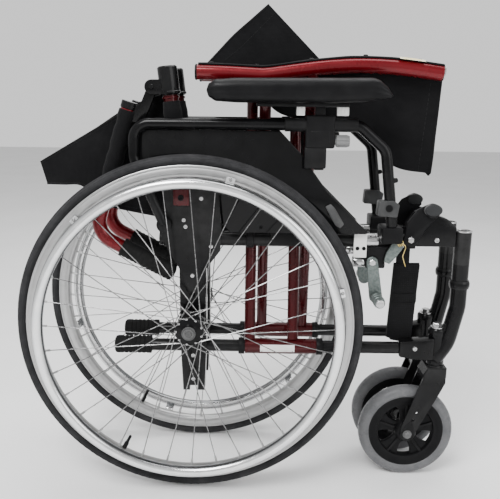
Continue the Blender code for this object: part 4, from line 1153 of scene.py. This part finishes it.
def dress(node, look):
    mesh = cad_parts[node].data
    mesh.materials.clear()
    mesh.materials.append(LOOKS[look])


for word, side in SIDES.items():
    rear_wheel(word, side)
    caster(word, side)
    frame_side(word, side)
    cane(word, side)
    folding_cane(word, side)
    brace(word, side)
    rail_cover(OTHER[word], -side)
    armrest(word, side)
    wheel_lock(word, side)
    upholstery(word, side)
    for node, look in KEPT.items():
        dress(f"{word}_{node}", look)
leg_strap()
dress("brace_axle", "steel")

# ---- studio ----


def studio():
    floor_look = Nodes("studio_floor")
    tone = floor_look.ramp(floor_look.noise(3.0), [(0.3, (0.92, 0.92, 0.92)), (0.7, (0.96, 0.96, 0.96))])
    floor_look.set(Base_Color=tone, Roughness=0.7)
    bm = bmesh.new()
    bmesh.ops.create_grid(bm, x_segments=8, y_segments=8, size=9.0)
    mesh = bpy.data.meshes.new("studio_floor")
    bm.to_mesh(mesh)
    bm.free()
    mesh.materials.append(floor_look.material)
    floor = shown("studio_floor", mesh)
    floor.location.z = -0.0005

    world = bpy.data.worlds.new("studio")
    world.use_nodes = True
    tree = world.node_tree
    where = tree.nodes.new("ShaderNodeTexCoord").outputs["Generated"]
    split = tree.nodes.new("ShaderNodeSeparateXYZ")
    fade = tree.nodes.new("ShaderNodeMapRange")
    for key, number in (("From Min", 0.25), ("From Max", 0.85), ("To Min", 1.0), ("To Max", 0.5)):
        fade.inputs[key].default_value = number
    tree.links.new(where, split.inputs["Vector"])
    tree.links.new(split.outputs["Z"], fade.inputs["Value"])
    tree.links.new(fade.outputs["Result"], tree.nodes["Background"].inputs["Strength"])
    tree.nodes["Background"].inputs["Color"].default_value = (1.0, 1.0, 1.0, 1.0)
    bpy.context.scene.world = world
    for name, place, size, power in (
        ("key", (-0.9, -1.6, 2.6), 1.2, 95.0),
        ("fill", (1.9, -1.6, 1.3), 1.6, 26.0),
        ("top", (0.2, 0.6, 2.8), 2.0, 60.0),
    ):
        light = bpy.data.lights.new(name, "AREA")
        light.size = size
        light.energy = power
        lamp = shown(name, light)
        lamp.location = place
        lamp.rotation_euler = (Vector((0, 0, 0.4)) - Vector(place)).to_track_quat("-Z", "Y").to_euler()


def camera():
    pitch, yaw, roll = 0.2208, -0.0105, 0.0105
    forward = Vector((sin(yaw) * cos(pitch), cos(yaw) * cos(pitch), -sin(pitch)))
    right = Vector((cos(yaw), -sin(yaw), 0))
    up = right.cross(forward)
    across = right * cos(roll) + up * sin(roll)
    upward = up * cos(roll) - right * sin(roll)
    data = bpy.data.cameras.new("camera")
    data.sensor_width = 36.0
    data.lens = 46.4
    view = shown("camera", data)
    turn = Matrix((across, upward, -forward)).transposed().to_4x4()
    view.matrix_world = Matrix.Translation((0.1134 + AXLE_X, -1.1564, 0.6793)) @ turn
    bpy.context.scene.camera = view


studio()
camera()
